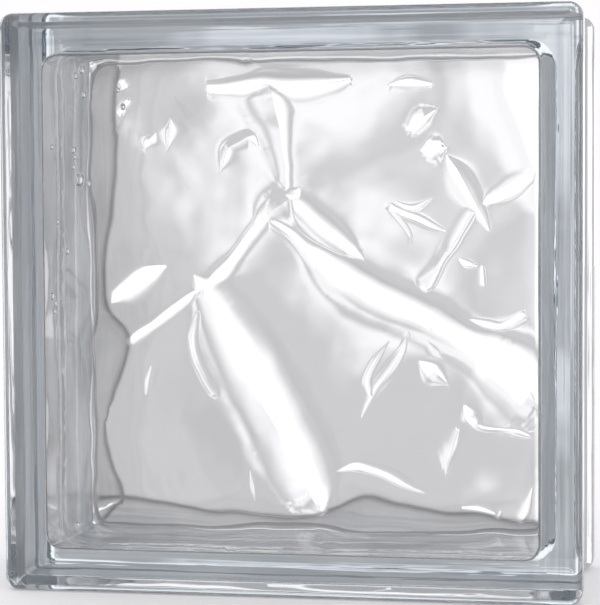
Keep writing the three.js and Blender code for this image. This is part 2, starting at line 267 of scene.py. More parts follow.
@dataclass(frozen=True)
class ClearGlass:
    """Fire-polished soda-lime glass, faintly blue-green where it is thick, with fine streaks on its rims that
    carry painted shade.
    """

    tint: tuple = (1.0, 1.0, 1.0, 1.0)
    black: tuple = (0.0, 0.0, 0.0, 1.0)
    ior: float = 1.52
    roughness: float = 0.0
    depth_tint: tuple = (0.79, 0.832, 0.86, 1.0)
    depth_density: float = 20.0
    cord_scale: float = 30.0
    cord_height: float = 0.5
    block_middle: float = 95
    face_start: float = 38
    rim_start: float = 81
    rim_end: float = 89
    rim_edge: float = 1
    streak_width: float = 3
    streak_length: float = 90
    streak_height: float = 0.14
    streak_range: tuple = (0.35, 0.65)
    # The painted shade in the rims' streaks, and how much less of it the left rim and a band of the right rim
    # take
    rim_shade_tint: tuple = (0.56, 0.60, 0.64, 1.0)
    left_rim_lightening: float = 0.65
    right_rim_lightening: float = 0.7
    right_rim_lightening_end: float = 87

    def depth(self, graph: Graph) -> Value:
        """Adds the absorption of light in the glass's depth."""
        return graph.make("ShaderNodeVolumeAbsorption", {},
                          {"Color": self.depth_tint, "Density": self.depth_density})

    def _rim_streaks_and_shade(self, graph: Graph) -> tuple[Value, Value]:
        """Draws the streaks that run along the rims on both faces, and the painted shade in them.

        Args:
            graph: where the nodes are added.

        Returns:
            Their bump height, and how much painted shade darkens the glass in them. This is less at the left
            and the right, which paints those rims paler.
        """
        x, y, z = graph.place()
        out = x.bent("ABSOLUTE") | (z - self.block_middle).bent("ABSOLUTE")
        on_face = y.bent("ABSOLUTE").step(self.face_start, self.face_start + self.rim_edge)
        rim = out.band(self.rim_start, self.rim_end, self.rim_edge) * on_face
        streaks = graph.streaks(out * (1 / self.streak_width), (x + z) * (1 / self.streak_length),
                                y * (1 / self.streak_length))
        # Painted shade: the streaks darken the rims' colour. The left rim and a band of the right rim take
        # less of it, which paints them lighter.
        lightening_start = self.rim_start - self.rim_edge
        left = (x * -1).step(lightening_start, self.rim_start + self.rim_edge)
        right = x.band(lightening_start, self.right_rim_lightening_end, self.rim_edge)
        kept = 1 - left * self.left_rim_lightening - right * self.right_rim_lightening
        return rim * streaks * self.streak_height, rim * streaks.step(*self.streak_range) * kept

    def material(self, name: str) -> bpy.types.Material:
        """Makes the material.

        Args:
            name: the material's name.

        Returns:
            The material.
        """
        made = bpy.data.materials.new(name)
        graph = Graph(made)
        spot = graph.make("ShaderNodeTexCoord", output="Object")
        cords = graph.make("ShaderNodeTexNoise", {"noise_dimensions": "3D"},
                           {"Vector": spot, "Scale": self.cord_scale, "Detail": 2.0})
        streak_height, rim_shade_share = self._rim_streaks_and_shade(graph)
        height = cords * self.cord_height + streak_height
        bump = graph.make("ShaderNodeBump", {}, {"Strength": 1.0, "Distance": MM, "Height": height})
        # Painted shade in the glass's colour: streaks of it on the rims, and the shade attribute's along the
        # banks' feet, on the fillets and at the top.
        shade = graph.make("ShaderNodeAttribute", {"attribute_name": SHADE}, output="Fac")
        tint = graph.mix_colours(rim_shade_share, self.tint, self.rim_shade_tint)
        surface = graph.make("ShaderNodeBsdfPrincipled", {}, {
            "Base Color": graph.mix_colours(shade, tint, self.black), "Roughness": self.roughness,
            "IOR": self.ior, "Transmission Weight": 1.0, "Normal": bump,
        })
        graph.make("ShaderNodeOutputMaterial", {}, {"Surface": surface, "Volume": self.depth(graph)})
        return made


@dataclass(frozen=True)
class MattCoat:
    """The thin matt coat on the sides that mortar holds on to, which lets half its light through."""

    glass: ClearGlass
    pale: tuple = (0.80, 0.855, 0.90, 1.0)
    through: tuple = (0.85, 0.90, 0.945, 1.0)
    see_through: float = 0.55
    cover: float = 0.5
    cover_change: float = 0.3
    streak_width: float = 3.5
    streak_length: float = 70
    streak_range: tuple = (0.3, 0.7)
    roughness: float = 0.3

    def _cover(self, graph: Graph) -> Value:
        """Tells how well the coat covers the glass, which varies in streaks round the sides.

        Args:
            graph: where the nodes are added.

        Returns:
            The share of the surface that it covers.
        """
        x, y, z = graph.place()
        streaks = graph.streaks(x * (1 / self.streak_length), y * (1 / self.streak_width),
                                z * (1 / self.streak_length))
        return self.cover + (streaks.step(*self.streak_range) - 0.5) * self.cover_change

    def material(self, name: str) -> bpy.types.Material:
        """Makes the material.

        Args:
            name: the material's name.

        Returns:
            The material.
        """
        made = bpy.data.materials.new(name)
        graph = Graph(made)
        coat = graph.make("ShaderNodeBsdfDiffuse", {}, {"Color": self.pale})
        lit_through = graph.make("ShaderNodeBsdfTranslucent", {}, {"Color": self.through})
        coat = graph.make("ShaderNodeMixShader", {}, {0: self.see_through, 1: coat, 2: lit_through})
        frost = graph.make("ShaderNodeBsdfPrincipled", {}, {
            "Base Color": self.glass.tint, "Roughness": self.roughness, "IOR": self.glass.ior,
            "Transmission Weight": 1.0,
        })
        surface = graph.make("ShaderNodeMixShader", {}, {0: self._cover(graph), 1: frost, 2: coat})
        graph.make("ShaderNodeOutputMaterial", {},
                   {"Surface": surface, "Volume": self.glass.depth(graph)})
        return made


@dataclass(frozen=True)
class PaleFloor:
    """A matt white studio floor that keeps the block's soft shadow."""

    colour: tuple = (0.86, 0.86, 0.87, 1.0)
    roughness: float = 0.9
    shine: float = 0.1
    glow: tuple = (1.0, 1.0, 1.0, 1.0)
    lift: float = 0.16

    def material(self, name: str) -> bpy.types.Material:
        """Makes the material.

        Args:
            name: the material's name.

        Returns:
            The material.
        """
        made = bpy.data.materials.new(name)
        graph = Graph(made)
        surface = graph.make("ShaderNodeBsdfPrincipled", {}, {
            "Base Color": self.colour, "Roughness": self.roughness, "Specular IOR Level": self.shine,
            "Emission Color": self.glow, "Emission Strength": self.lift,
        })
        graph.make("ShaderNodeOutputMaterial", {}, {"Surface": surface})
        return made


# ---------------------------------------------------------------------------------------------
# The camera and what it sees
# ---------------------------------------------------------------------------------------------


@dataclass(frozen=True)
class Camera:
    """The camera, placed from the block's middle underside, in millimetres, degrees and picture pixels."""

    place: tuple[float, float, float] = (134.3, -709.6, 131.2)
    yaw: float = 10.89
    pitch: float = 2.97
    roll: float = -0.32
    focal_pixels: float = 2138
    picture_width: int = 600
    picture_height: int = 605

    def axes(self) -> tuple[np.ndarray, np.ndarray, np.ndarray]:
        """Works out how the camera is turned.

        Returns:
            The ways to the right and up in its picture, and the way ahead.
        """
        yaw, pitch, roll = (math.radians(angle) for angle in (self.yaw, self.pitch, self.roll))
        level = np.array([-math.sin(yaw), math.cos(yaw), 0])
        right = np.array([math.cos(yaw), math.sin(yaw), 0])
        up = np.array([0, 0, 1])
        ahead = level * math.cos(pitch) - up * math.sin(pitch)
        above = up * math.cos(pitch) + level * math.sin(pitch)
        side = right * math.cos(roll) + above * math.sin(roll)
        top = above * math.cos(roll) - right * math.sin(roll)
        return side, top, ahead

    def ray(self, spot: tuple[float, float]) -> np.ndarray:
        """Finds the way in which the camera sees a spot of its picture.

        Args:
            spot: the pixels to the right and down from the picture's upper left corner.

        Returns:
            The direction, of length 1.
        """
        side, top, ahead = self.axes()
        right, down = spot
        way = (ahead + side * (right - self.picture_width / 2) / self.focal_pixels
               - top * (down - self.picture_height / 2) / self.focal_pixels)
        return way / np.linalg.norm(way)

    def build(self) -> bpy.types.Object:
        """Makes the camera and sets it as the scene's."""
        side, top, ahead = self.axes()
        data = bpy.data.cameras.new("studio_camera")
        data.lens = self.focal_pixels / self.picture_height * data.sensor_width
        made = bpy.data.objects.new("studio_camera", data)
        turn = Matrix((side, top, -ahead)).transposed().to_4x4()
        made.matrix_world = Matrix.Translation(Vector(self.place) * MM) @ turn
        bpy.context.scene.collection.objects.link(made)
        bpy.context.scene.camera = made
        return made


@dataclass(frozen=True)
class Sight:
    """The camera's sight of one pane's inner face, through the front pane's glass."""

    pane: Pane
    camera: Camera = Camera()
    half_depth: float = 40
    front_glass: float = 8
    back_face: float = 31.5
    block_middle: float = 95
    ior: float = 1.52
    dip: float = 3

    def place(self, spot: tuple[float, float]) -> np.ndarray:
        """Finds what a spot of the picture shows.

        Args:
            spot: the pixels to the right and down from the picture's upper left corner.

        Returns:
            The x and z on the pane's inner face, from the pane's middle.
        """
        ray = self.camera.ray(spot)
        bent = np.array([ray[0], 0, ray[2]]) / self.ior
        bent[1] = math.sqrt(1 - bent @ bent)
        at = self.camera.place + (-self.half_depth - self.camera.place[1]) / ray[1] * ray
        at += bent * (self.front_glass / bent[1])
        if self.pane is Pane.BACK:
            at += ray * ((self.back_face - at[1]) / ray[1])
        return at[[0, 2]] - (0, self.block_middle)

    def view(self, spot: tuple[float, float]) -> np.ndarray:
        """Finds how far off the studio's axis the camera looks at a spot of its picture.

        Args:
            spot: the pixels to the right and down from the picture's upper left corner.

        Returns:
            The degrees to the right and up.
        """
        x, y, z = self.camera.ray(spot)
        return np.degrees([math.atan2(x, y), math.asin(z)]) + (self.camera.yaw, self.dip)

    def pixels_per_mm(self, spot: tuple[float, float] = (300, 300), step: float = 10) -> float:
        """Tells how large a millimetre of the pane shows, from two spots that lie a step apart."""
        beside = self.place((spot[0] + step, spot[1]))
        return step / math.hypot(*(beside - self.place(spot)))


# ---------------------------------------------------------------------------------------------
# The pressed relief
# ---------------------------------------------------------------------------------------------


def smooth_line(points: tuple[tuple[float, ...], ...], spans: int) -> np.ndarray:
    """Samples the smooth curve through some points.

    Args:
        points: the points, of any number of coordinates.
        spans: the number of spans from one point to the next.

    Returns:
        The sampled points, one row each.
    """
    given = np.array(points, float)
    padded = np.vstack([given[0], given, given[-1]])
    spots = np.linspace(0, len(given) - 1, spans * (len(given) - 1) + 1)
    first = np.minimum(spots.astype(int), len(given) - 2)
    t = (spots - first)[:, None]
    p0, p1, p2, p3 = (padded[first + k] for k in range(4))
    start, end = (p2 - p0) / 2, (p3 - p1) / 2
    return ((2 * p1 - 2 * p2 + start + end) * t**3 + (3 * p2 - 3 * p1 - 2 * start - end) * t**2
            + start * t + p1)


def above_zero(height: np.ndarray, rounding: np.ndarray | float) -> np.ndarray:
    """Keeps heights above 0, with a round foot where they would pass below it."""
    return rounding * np.logaddexp(0, height / rounding)


def zero_to_one(value: np.ndarray, far: float = 50) -> np.ndarray:
    """Rises softly from 0 to 1 about a value of 0, and is level where the value is far from it."""
    return 1 / (1 + np.exp(np.clip(-value, -far, far)))


@dataclass(frozen=True)
class Fold:
    """One fold of the relief, whose sharp crest stands up into the cavity between two sloping flanks.

    The run's points hold x, z and the fold's half width. The flanks' slopes are given for the left and
    the right side of the run, and the feet are rounded over a share of the half width.
    """

    name: str
    run: tuple[tuple[float, float, float], ...]
    slopes: tuple[float, float]
    foot_share: float = 0.3
    crest_round: float = 0.02
    spans: int = 8
    fine_spans: int = 40
    cap_steps: int = 5
    # The least half width that a foot's rounding is taken from
    narrowest: float = 0.5
    # How many times its rounding a foot reaches out
    foot_reach: float = 7
    # Where the rows of points lie: by shares of the flank, and past its edge by the foot's rounding
    flank_rows: tuple[float, ...] = (0.12, 0.4, 0.7)
    foot_rows: tuple[float, ...] = (-1, 0, 1, 2.2, 4)

    @property
    def mean_slope(self) -> float:
        """The mean of the flanks' slopes."""
        return sum(self.slopes) / 2

    def _curve(self, spans: int) -> np.ndarray:
        """Samples the run, with a round cap at both ends where the fold dies away.

        Args:
            spans: the number of spans from one of the run's points to the next.

        Returns:
            The points, each with x, z and the half width.
        """
        curve = smooth_line(self.run, spans)
        caps = []
        for end, before in ((curve[0], curve[1]), (curve[-1], curve[-2])):
            away = (end - before)[:2] / np.hypot(*(end - before)[:2])
            turns = np.linspace(0, RIGHT_ANGLE, self.cap_steps)[1:, None]
            caps.append(np.hstack([end[:2] + away * end[2] * np.sin(turns), end[2] * np.cos(turns)]))
        return np.vstack([caps[0][::-1], curve, caps[1]])

    def _section(self, curve: np.ndarray, x: np.ndarray, z: np.ndarray) -> tuple[np.ndarray, np.ndarray]:
        """Finds where points lie in the fold's cross section.

        Args:
            curve: the fold's sampled run.
            x: positions across the pane.
            z: positions up the pane.

        Returns:
            The offset to the right of the run, and the half width there.
        """
        nearest = np.full(x.shape, np.inf)
        offset, half_width = np.zeros(x.shape), np.zeros(x.shape)
        for start, end in zip(curve, curve[1:]):
            span = (end - start)[:2]
            length = math.hypot(*span)
            along = ((x - start[0]) * span[0] + (z - start[1]) * span[1]) / length**2
            across = ((x - start[0]) * span[1] - (z - start[1]) * span[0]) / length
            share = np.clip(along, 0, 1)
            distance = np.hypot(across, abs(along - share) * length)
            closer = distance < nearest
            nearest = np.where(closer, distance, nearest)
            offset = np.where(closer, np.sign(across) * distance, offset)
            half_width = np.where(closer, start[2] + share * (end[2] - start[2]), half_width)
        return offset, half_width

    def stand(self, x: np.ndarray, z: np.ndarray) -> np.ndarray:
        """Measures how high the fold stands at points of the pane.

        Args:
            x: positions across, from the middle.
            z: positions up, from the middle.

        Returns:
            The fold's height at each point.
        """
        curve = self._curve(self.spans)
        reach = curve[:, 2].max() * (1 + self.foot_reach * self.foot_share) + 1
        low, high = curve[:, :2].min(axis=0) - reach, curve[:, :2].max(axis=0) + reach
        near = (x > low[0]) & (x < high[0]) & (z > low[1]) & (z < high[1])
        offset, half_width = self._section(curve, x[near], z[near])
        left = self.slopes[0] * (half_width + offset)
        right = self.slopes[1] * (half_width - offset)
        crest = self.crest_round * self.mean_slope
        roof = -crest * np.logaddexp(-left / crest, -right / crest)
        foot = self.foot_share * self.mean_slope * np.maximum(half_width, self.narrowest)
        height = np.zeros(x.shape)
        height[near] = above_zero(roof, foot)
        return height

    def rows(self, step: float) -> list[np.ndarray]:
        """Lays rows of points along the fold: its crest first, then its flanks and feet.

        Args:
            step: the distance between points along a row.

        Returns:
            The rows, each with one row of x and z per point.
        """
        curve = self._curve(self.fine_spans)
        lengths = np.concatenate([[0], np.cumsum(np.hypot(*np.diff(curve[:, :2], axis=0).T))])
        places = np.linspace(0, lengths[-1], max(2, round(lengths[-1] / step)) + 1)
        x, z, half_width = (np.interp(places, lengths, curve[:, k]) for k in range(3))
        along_x, along_z = np.gradient(x, places), np.gradient(z, places)
        size = np.hypot(along_x, along_z)
        to_right = np.column_stack([along_z / size, -along_x / size])
        left_slope, right_slope = self.slopes
        crest = half_width * (right_slope - left_slope) / (right_slope + left_slope)
        foot = self.foot_share * np.maximum(half_width, self.narrowest)
        offsets = [crest]
        for side in (-1, 1):
            edge = side * half_width
            offsets += [crest + (edge - crest) * share for share in self.flank_rows]
            offsets += [edge + side * foot * away for away in self.foot_rows]
        middle = np.column_stack([x, z])
        return [middle + to_right * offset[:, None] for offset in offsets]


@dataclass(frozen=True)
class Bank:
    """A bank of glass that slopes down from one wall to a wandering foot.

    The knots hold the place along the wall and the foot's distance from the wall. The bank's first
    slope holds for a set distance from the foot, and its second slope from there to the wall.
    """

    wall: Wall
    knots: tuple[tuple[float, float], ...]
    slopes: tuple[float, float] = (0.6, 0.75)
    first_width: float = 1.0
    foot_round: float = 0.004
    knee_round: float = 0.25
    half_side: float = 82
    line_shade: float = 0.85
    line_width: float = 0.8
    line_fade: float = 1.5
    bank_shade: float = 0.08
    shade_edge: float = 0.3
    knot_spans: int = 12
    # Where the rows of points lie, by the roundings of the foot and of the knee
    foot_rows: tuple[float, ...] = (-8, -4.4, -2.4, -1, 1, 2.4, 4.4)
    knee_rows: tuple[float, ...] = (-2, -0.7, 0.7, 2, 4)
    least_row_gap: float = 0.3

    def foot(self, place: np.ndarray) -> np.ndarray:
        """Gives the foot's distance from the wall at places along it."""
        line = smooth_line(self.knots, self.knot_spans)
        return np.interp(place, line[:, 0], line[:, 1])

    def stand(self, x: np.ndarray, z: np.ndarray) -> np.ndarray:
        """Measures how high the bank stands at points of the pane.

        Args:
            x: positions across, from the middle.
            z: positions up, from the middle.

        Returns:
            The bank's height at each point.
        """
        climb = self._climb(x, z)
        first, second = self.slopes
        later = above_zero(climb - self.first_width, self.knee_round)
        return first * above_zero(climb, self.foot_round) + (second - first) * later

    def _climb(self, x: np.ndarray, z: np.ndarray) -> np.ndarray:
        """Measures how far points lie from the foot, towards the wall."""
        out_x, out_z = self.wall.value
        return self.foot(x if out_z else z) - self.half_side + x * out_x + z * out_z

    def foot_shade(self, x: np.ndarray, z: np.ndarray) -> np.ndarray:
        """Tells how much the foot's soft dark line and the bank shade the glass.

        Args:
            x: positions across, from the middle.
            z: positions up, from the middle.

        Returns:
            The shade at each point.
        """
        climb = self._climb(x, z)
        reach = np.where(climb < 0, self.line_width, self.line_fade)
        line = self.line_shade * np.exp(-((climb / reach) ** 2))
        return line + self.bank_shade * zero_to_one(climb / self.shade_edge)

    def rows(self, step: float) -> list[np.ndarray]:
        """Lays rows of points along the bank: its foot first, then those beside its foot and its knee.

        Args:
            step: the distance between points along a row.

        Returns:
            The rows, each with one row of x and z per point.
        """
        gap = max(self.foot_round, self.least_row_gap)
        climbs = [0, *(away * gap for away in self.foot_rows)]
        climbs += [self.first_width + away * self.knee_round for away in self.knee_rows]
        return [self._row(step, climb) for climb in climbs]

    def _row(self, step: float, climb: float) -> np.ndarray:
        """Lays one row of points along the bank.

        Args:
            step: the distance between points along the row.
            climb: the row's distance from the foot, towards the wall.

        Returns:
            One row of x and z per point.
        """
        places = np.arange(-self.half_side, self.half_side, step)
        out = self.half_side - self.foot(places) + climb
        out_x, out_z = self.wall.value
        return np.column_stack([out * out_x, places] if out_x else [places, out * out_z])


@dataclass(frozen=True)
class Relief:
    """The relief of one pane: a net of folds on a slow swell, and banks of glass against some walls."""

    folds: tuple[Fold, ...]
    banks: tuple[Bank, ...] = ()
    swell_height: float = 0.3
    swell_length: float = 78
    merging: float = 3

    def stand(self, x: np.ndarray, z: np.ndarray) -> np.ndarray:
        """Measures how far the relief stands up from the mean inner face.

        Args:
            x: positions across, from the middle.
            z: positions up, from the middle.

        Returns:
            The relief's height at each point.
        """
        turn = TURN / self.swell_length
        swell = self.swell_height * np.sin(turn * x + 1) * np.cos(turn * z)
        forms = (form.stand(x, z)**self.merging for form in self.folds + self.banks)
        return swell + sum(forms) ** (1 / self.merging)

    def foot_shade(self, x: np.ndarray, z: np.ndarray) -> np.ndarray:
        """Tells how much the banks' feet shade the glass at points of the pane."""
        return np.max([bank.foot_shade(x, z) for bank in self.banks] + [np.zeros(x.shape)], axis=0)

    def rows(self, step: float) -> tuple[list[np.ndarray], list[np.ndarray]]:
        """Lays rows of points along the relief's forms.

        Args:
            step: the distance between points along a row.

        Returns:
            The rows along creases, and the other rows.
        """
        creases, others = [], []
        for form in self.folds + self.banks:
            crease, *beside = form.rows(step)
            creases.append(crease)
            others += beside
        return creases, others


@dataclass(frozen=True)
class Sketch:
    """A fold as the camera shows it: a run of spots with its half width at each, all in picture pixels.

    Where no slopes are given, each flank is steep enough to bend the view well out of the dim middle
    of the studio, which reaches some degrees to the left, to the right, down and up from its axis.
    """

    name: str
    run: tuple[tuple[float, float, float], ...]
    slopes: tuple[float, float] | None = None
    dim_left: float = 9
    dim_right: float = 8
    dim_down: float = 13
    dim_up: float = 14
    # How many times as far as the dim middle's edge the view is bent
    well_out: float = 1.45
    # The degrees by which a flank with a slope of 1 bends the view
    bend: float = 29.8
    tried_slopes: tuple[float, float, float] = (0.05, 2.0, 0.01)
    # Places are kept to half a millimetre and slopes to a twentieth
    places_in_mm: float = 2
    slopes_in_one: float = 20
    wide: float = 3.4
    wide_foot_share: float = 0.4
    soft_crest_round: float = 4

    def _flank_slope(self, view: np.ndarray, way: np.ndarray) -> float:
        """Chooses the slope of a flank.

        Args:
            view: the degrees to the right and up, off the studio's axis, in which the camera sees it.
            way: the way, across and up, in which it bends the view.

        Returns:
            The least slope that bends the view far enough.
        """
        slopes = np.arange(*self.tried_slopes)
        right, up = view[:, None] + self.bend * slopes * way[:, None]
        out = np.max([right / self.dim_right, -right / self.dim_left, up / self.dim_up, -up / self.dim_down],
                     axis=0)
        return round(float(slopes[np.argmax(out >= self.well_out)]) * self.slopes_in_one) / self.slopes_in_one

    def fold(self, sight: Sight) -> Fold:
        """Makes the fold that shows like this.

        Args:
            sight: the camera's sight of the pane that the fold is on.

        Returns:
            The fold. Wide ones and those of the front pane have rounder feet, and the latter soft crests.
        """
        scale = sight.pixels_per_mm()
        places = np.array([sight.place(spot[:2]) for spot in self.run])
        run = tuple((*np.round(place * self.places_in_mm) / self.places_in_mm, round(spot[2] / scale, 1))
                    for place, spot in zip(places, self.run))
        slopes = self.slopes
        if slopes is None:
            across, up = places[-1] - places[0]
            to_right = np.array([up, -across]) / math.hypot(across, up)
            view = sight.view(self.run[len(self.run) // 2][:2])
            slopes = (self._flank_slope(view, to_right), self._flank_slope(view, -to_right))
        if sight.pane is Pane.FRONT:
            return Fold(self.name, run, slopes, self.wide_foot_share, self.soft_crest_round)
        if max(half_width for _, _, half_width in run) < self.wide:
            return Fold(self.name, run, slopes)
        return Fold(self.name, run, slopes, self.wide_foot_share)


def foot_knots(sight: Sight, wall: Wall, spots: tuple[tuple[float, float], ...],
               nearest: float = 2.5) -> tuple[tuple[float, float], ...]:
    """Finds the knots of a bank's foot.

    Args:
        sight: the camera's sight of the pane that the bank is on.
        wall: the wall that the bank leans on.
        spots: the foot's spots in the picture, in pixels.
        nearest: how near to the wall the foot may come.

    Returns:
        The knots, each with the place along the wall and the distance from it.
    """
    out_x, out_z = wall.value
    places = [sight.place(spot) for spot in spots]
    return tuple((round(x if out_z else z), round(max(Bank.half_side - x * out_x - z * out_z, nearest), 1))
                 for x, z in places)


# A spot is so many pixels to the right and down from the picture's upper left corner. In a sketch's run
# each spot comes with the fold's half width there.
BACK_FOLDS = (
    Sketch("crown", ((285, 196, 6), (284, 172, 7), (280, 150, 9), (277, 130, 12), (273, 112, 16),
        (270, 98, 18)), (0.3, 0.5)),
    Sketch("crown_band", ((208, 89, 4), (234, 87, 8), (264, 87, 11), (296, 87, 11), (325, 84, 9),
        (346, 80, 4))),
    Sketch("top_glint", ((388, 86, 1), (408, 84, 5), (430, 86, 2))),
    Sketch("hub", ((254, 224, 2), (264, 217, 9), (274, 210, 13), (284, 203, 14), (294, 196, 9),
        (300, 190, 2)), (0.45, 0.45)),
    Sketch("lens", ((286, 196, 3), (297, 205, 9), (312, 217, 11), (333, 235, 11), (348, 247, 8),
        (358, 254, 4), (364, 258, 1))),
    Sketch("left_branch", ((266, 218, 6), (247, 241, 5), (232, 261, 6), (219, 276, 7), (205, 288, 7),
        (190, 297, 5.5), (164, 315, 5), (129, 341, 4))),
    Sketch("broad_band", ((196, 276, 3), (206, 290, 14), (222, 316, 21), (241, 352, 27), (260, 395, 29),
        (284, 440, 29), (301, 476, 26), (313, 498, 19), (322, 512, 5)), (0.53, 0.5)),
    Sketch("band_left", ((198, 316, 6), (193, 340, 6), (198, 366, 5), (214, 392, 7))),
    Sketch("thread_a", ((150, 366, 1), (148, 380, 2), (147, 396, 1))),
    Sketch("long_diagonal", ((272, 222, 4), (292, 236, 5), (312, 254, 8), (340, 276, 16), (380, 300, 18),
        (430, 324, 17), (470, 345, 14), (500, 358, 20), (536, 380, 26))),
    Sketch("diagonal_end", ((512, 372, 10), (526, 396, 12), (538, 420, 8))),
    Sketch("right_brace", ((425, 284, 8), (440, 258, 6), (455, 234, 5), (468, 213, 5))),
    Sketch("brace_head", ((448, 158, 2), (454, 169, 7), (463, 184, 9), (472, 200, 8), (480, 214, 5),
        (488, 230, 1.5)), (0.5, 0.42)),
    Sketch("bank_arm", ((530, 176, 9), (508, 189, 8), (490, 198, 5), (478, 204, 1))),
    Sketch("low_arc", ((474, 319, 2), (489, 324, 4), (505, 325, 4), (524, 316, 4))),
    Sketch("loop_left", ((388, 342, 1), (375, 362, 3), (368, 382, 3.5), (371, 394, 3))),
    Sketch("loop_right", ((405, 336, 4), (399, 355, 4), (388, 375, 4.5), (374, 394, 3), (364, 416, 1))),
    Sketch("below_diagonal", ((421, 365, 2), (434, 375, 7), (447, 386, 1))),
    Sketch("below_diagonal_2", ((426, 343, 3), (434, 352, 6), (440, 360, 2))),
    Sketch("right_spot", ((464, 409, 2), (469, 418, 6), (476, 429, 3), (501, 431, 2.5), (516, 434, 4),
        (530, 438, 1))),
    Sketch("lower_spot", ((453, 434, 4), (448, 450, 6), (443, 467, 2))),
    Sketch("low_wave", ((336, 474, 2), (358, 470, 4), (382, 474, 3), (422, 486, 1))),
    Sketch("corner_glint", ((530, 490, 1), (528, 502, 2.5), (526, 514, 3.5), (520, 522, 2.5),
        (508, 524, 1))),
    Sketch("corner_thread", ((502, 512, 1), (497, 524, 2.5), (491, 538, 1))),
    Sketch("corner_arc", ((462, 505, 1), (480, 507, 2.5), (496, 514, 1))),
    Sketch("left_patch", ((111, 302, 1.5), (118, 295, 7), (129, 285, 9), (143, 275, 8), (155, 269, 5),
        (164, 265, 1))),
    Sketch("spot_a", ((168, 116, 1), (170, 130, 6), (169, 146, 1))),
    Sketch("spot_b", ((146, 146, 1), (151, 138, 5), (155, 131, 1))),
    Sketch("spot_c", ((120, 84, 3), (124, 91, 3))),
    Sketch("spot_d", ((123, 110, 3), (128, 105, 3))),
    Sketch("bent_patch", ((219, 170, 1), (223, 160, 5), (228, 148, 6.5), (240, 141, 7), (250, 137, 6),
        (256, 146, 1)), (0.42, 0.42)),
    Sketch("patch_right", ((413, 130, 5), (423, 118, 7), (434, 112, 2))),
    Sketch("round_spot", ((423, 153, 2), (431, 151, 8), (438, 150, 8), (445, 149, 2))),
    Sketch("scratch_a", ((391, 209, 3), (409, 234, 1))),
    Sketch("scratch_b", ((391, 209, 3), (417, 219, 4), (443, 229, 1))),
    Sketch("scratch_c", ((396, 203, 1), (411, 208, 3), (429, 198, 1))),
    Sketch("spot_e", ((484, 269, 2.5), (485, 283, 2.5))),
    Sketch("spot_f", ((460, 259, 1), (468, 263, 2.5), (477, 266, 1))),
    Sketch("low_spike", ((249, 472, 3), (252, 488, 3.5), (255, 500, 1))),
)

# Where the feet of the left and the lower bank meet, and the spots along each of them after it
FEET_MEET = (111, 497)
LEFT_FOOT = ((109, 440), (114, 400), (120, 375), (128, 343), (123, 330), (108, 310), (104, 285),
    (106, 250), (113, 215), (117, 170), (118, 130), (116, 100))
LOWER_FOOT = ((160, 500), (220, 508), (290, 519), (330, 512), (370, 497), (400, 499), (440, 509),
    (480, 513), (510, 520))
# The right bank, at one place across the picture: the pixels down to each spot, and its width there
RIGHT_BANK_ACROSS = 535
RIGHT_BANK = ((560, 2), (440, 3), (400, 6), (340, 9), (300, 7), (250, 9), (219, 12), (200, 26), (165, 34),
    (125, 45), (95, 52), (66, 52))

FRONT_FOLDS = (
    Sketch("wall_wave", ((101, 112, 3), (99, 150, 5), (95, 190, 7), (89, 230, 7), (83, 268, 5),
        (78, 300, 2)), (0.16, 0.16)),
    Sketch("low_streak", ((262, 282, 4), (290, 330, 9), (318, 385, 9), (346, 452, 4)), (0.06, 0.06)),
    Sketch("upper_left", ((100, 100, 10), (160, 110, 30), (240, 60, 12)), (0.07, 0.07)),
    Sketch("middle", ((300, 120, 10), (340, 200, 36), (430, 250, 16)), (0.05, 0.05)),
    Sketch("lower_left", ((120, 420, 14), (190, 450, 34), (230, 540, 14)), (0.06, 0.06)),
    Sketch("lower_right", ((330, 540, 14), (420, 470, 34), (520, 470, 16)), (0.06, 0.06)),
)

# The bubbles in the front pane's glass: the spot in the picture, and the radius that shows, in millimetres
BUBBLES = ((84, 70, 1.2), (78, 76, 0.9), (86, 95, 1.0), (54, 147, 0.7), (76, 150, 1.0), (77, 157, 0.7),
    (82, 180, 1.7), (91, 184, 0.9), (60, 222, 0.7), (70, 251, 0.9), (55, 296, 1.0), (58, 303, 0.8),
    (57, 311, 0.7), (80, 525, 1.2), (120, 90, 0.8), (125, 107, 0.9), (76, 167, 0.8))


def back_relief() -> Relief:
    """Makes the relief of the back pane.

    Returns:
        The relief, with a bank at each wall.
    """
    sight = Sight(Pane.BACK)
    side = Bank.half_side
    meet_z = sight.place(FEET_MEET)[1]
    meet_distance = round(side + meet_z, 1)
    left = foot_knots(sight, Wall.LEFT, LEFT_FOOT)
    before_left = ((-side, 2.5), (-77, round(meet_distance * 0.7, 1)), (round(meet_z), meet_distance))
    lower = foot_knots(sight, Wall.BOTTOM, LOWER_FOOT)
    scale = round(sight.pixels_per_mm(), 2)
    right = tuple((round(sight.place((RIGHT_BANK_ACROSS, down))[1]), round(width / scale, 1))
                  for down, width in RIGHT_BANK)
    banks = (
        Bank(Wall.LEFT, (*before_left, *left, (side, left[-1][1]))),
        Bank(Wall.BOTTOM, ((-side, meet_distance), *lower, (side, 2.5)), slopes=(0.8, 1.0)),
        Bank(Wall.RIGHT, right, slopes=(0.24, 0.28), first_width=3, foot_round=3, knee_round=1,
             line_shade=0, bank_shade=0),
        # This bank is nearly level and mostly paints shade along the top of the pane.
        Bank(Wall.TOP, ((-side, 4), (0, 5), (side, 4)), slopes=(0.02, 0.03), foot_round=1,
             line_shade=0, bank_shade=0.4, shade_edge=1.1),
    )
    return Relief(tuple(sketch.fold(sight) for sketch in BACK_FOLDS), banks)


def front_relief() -> Relief:
    """Makes the relief of the front pane, which has soft folds and no bank."""
    sight = Sight(Pane.FRONT)
    return Relief(tuple(sketch.fold(sight) for sketch in FRONT_FOLDS))


# ---------------------------------------------------------------------------------------------
# The glass body
# ---------------------------------------------------------------------------------------------


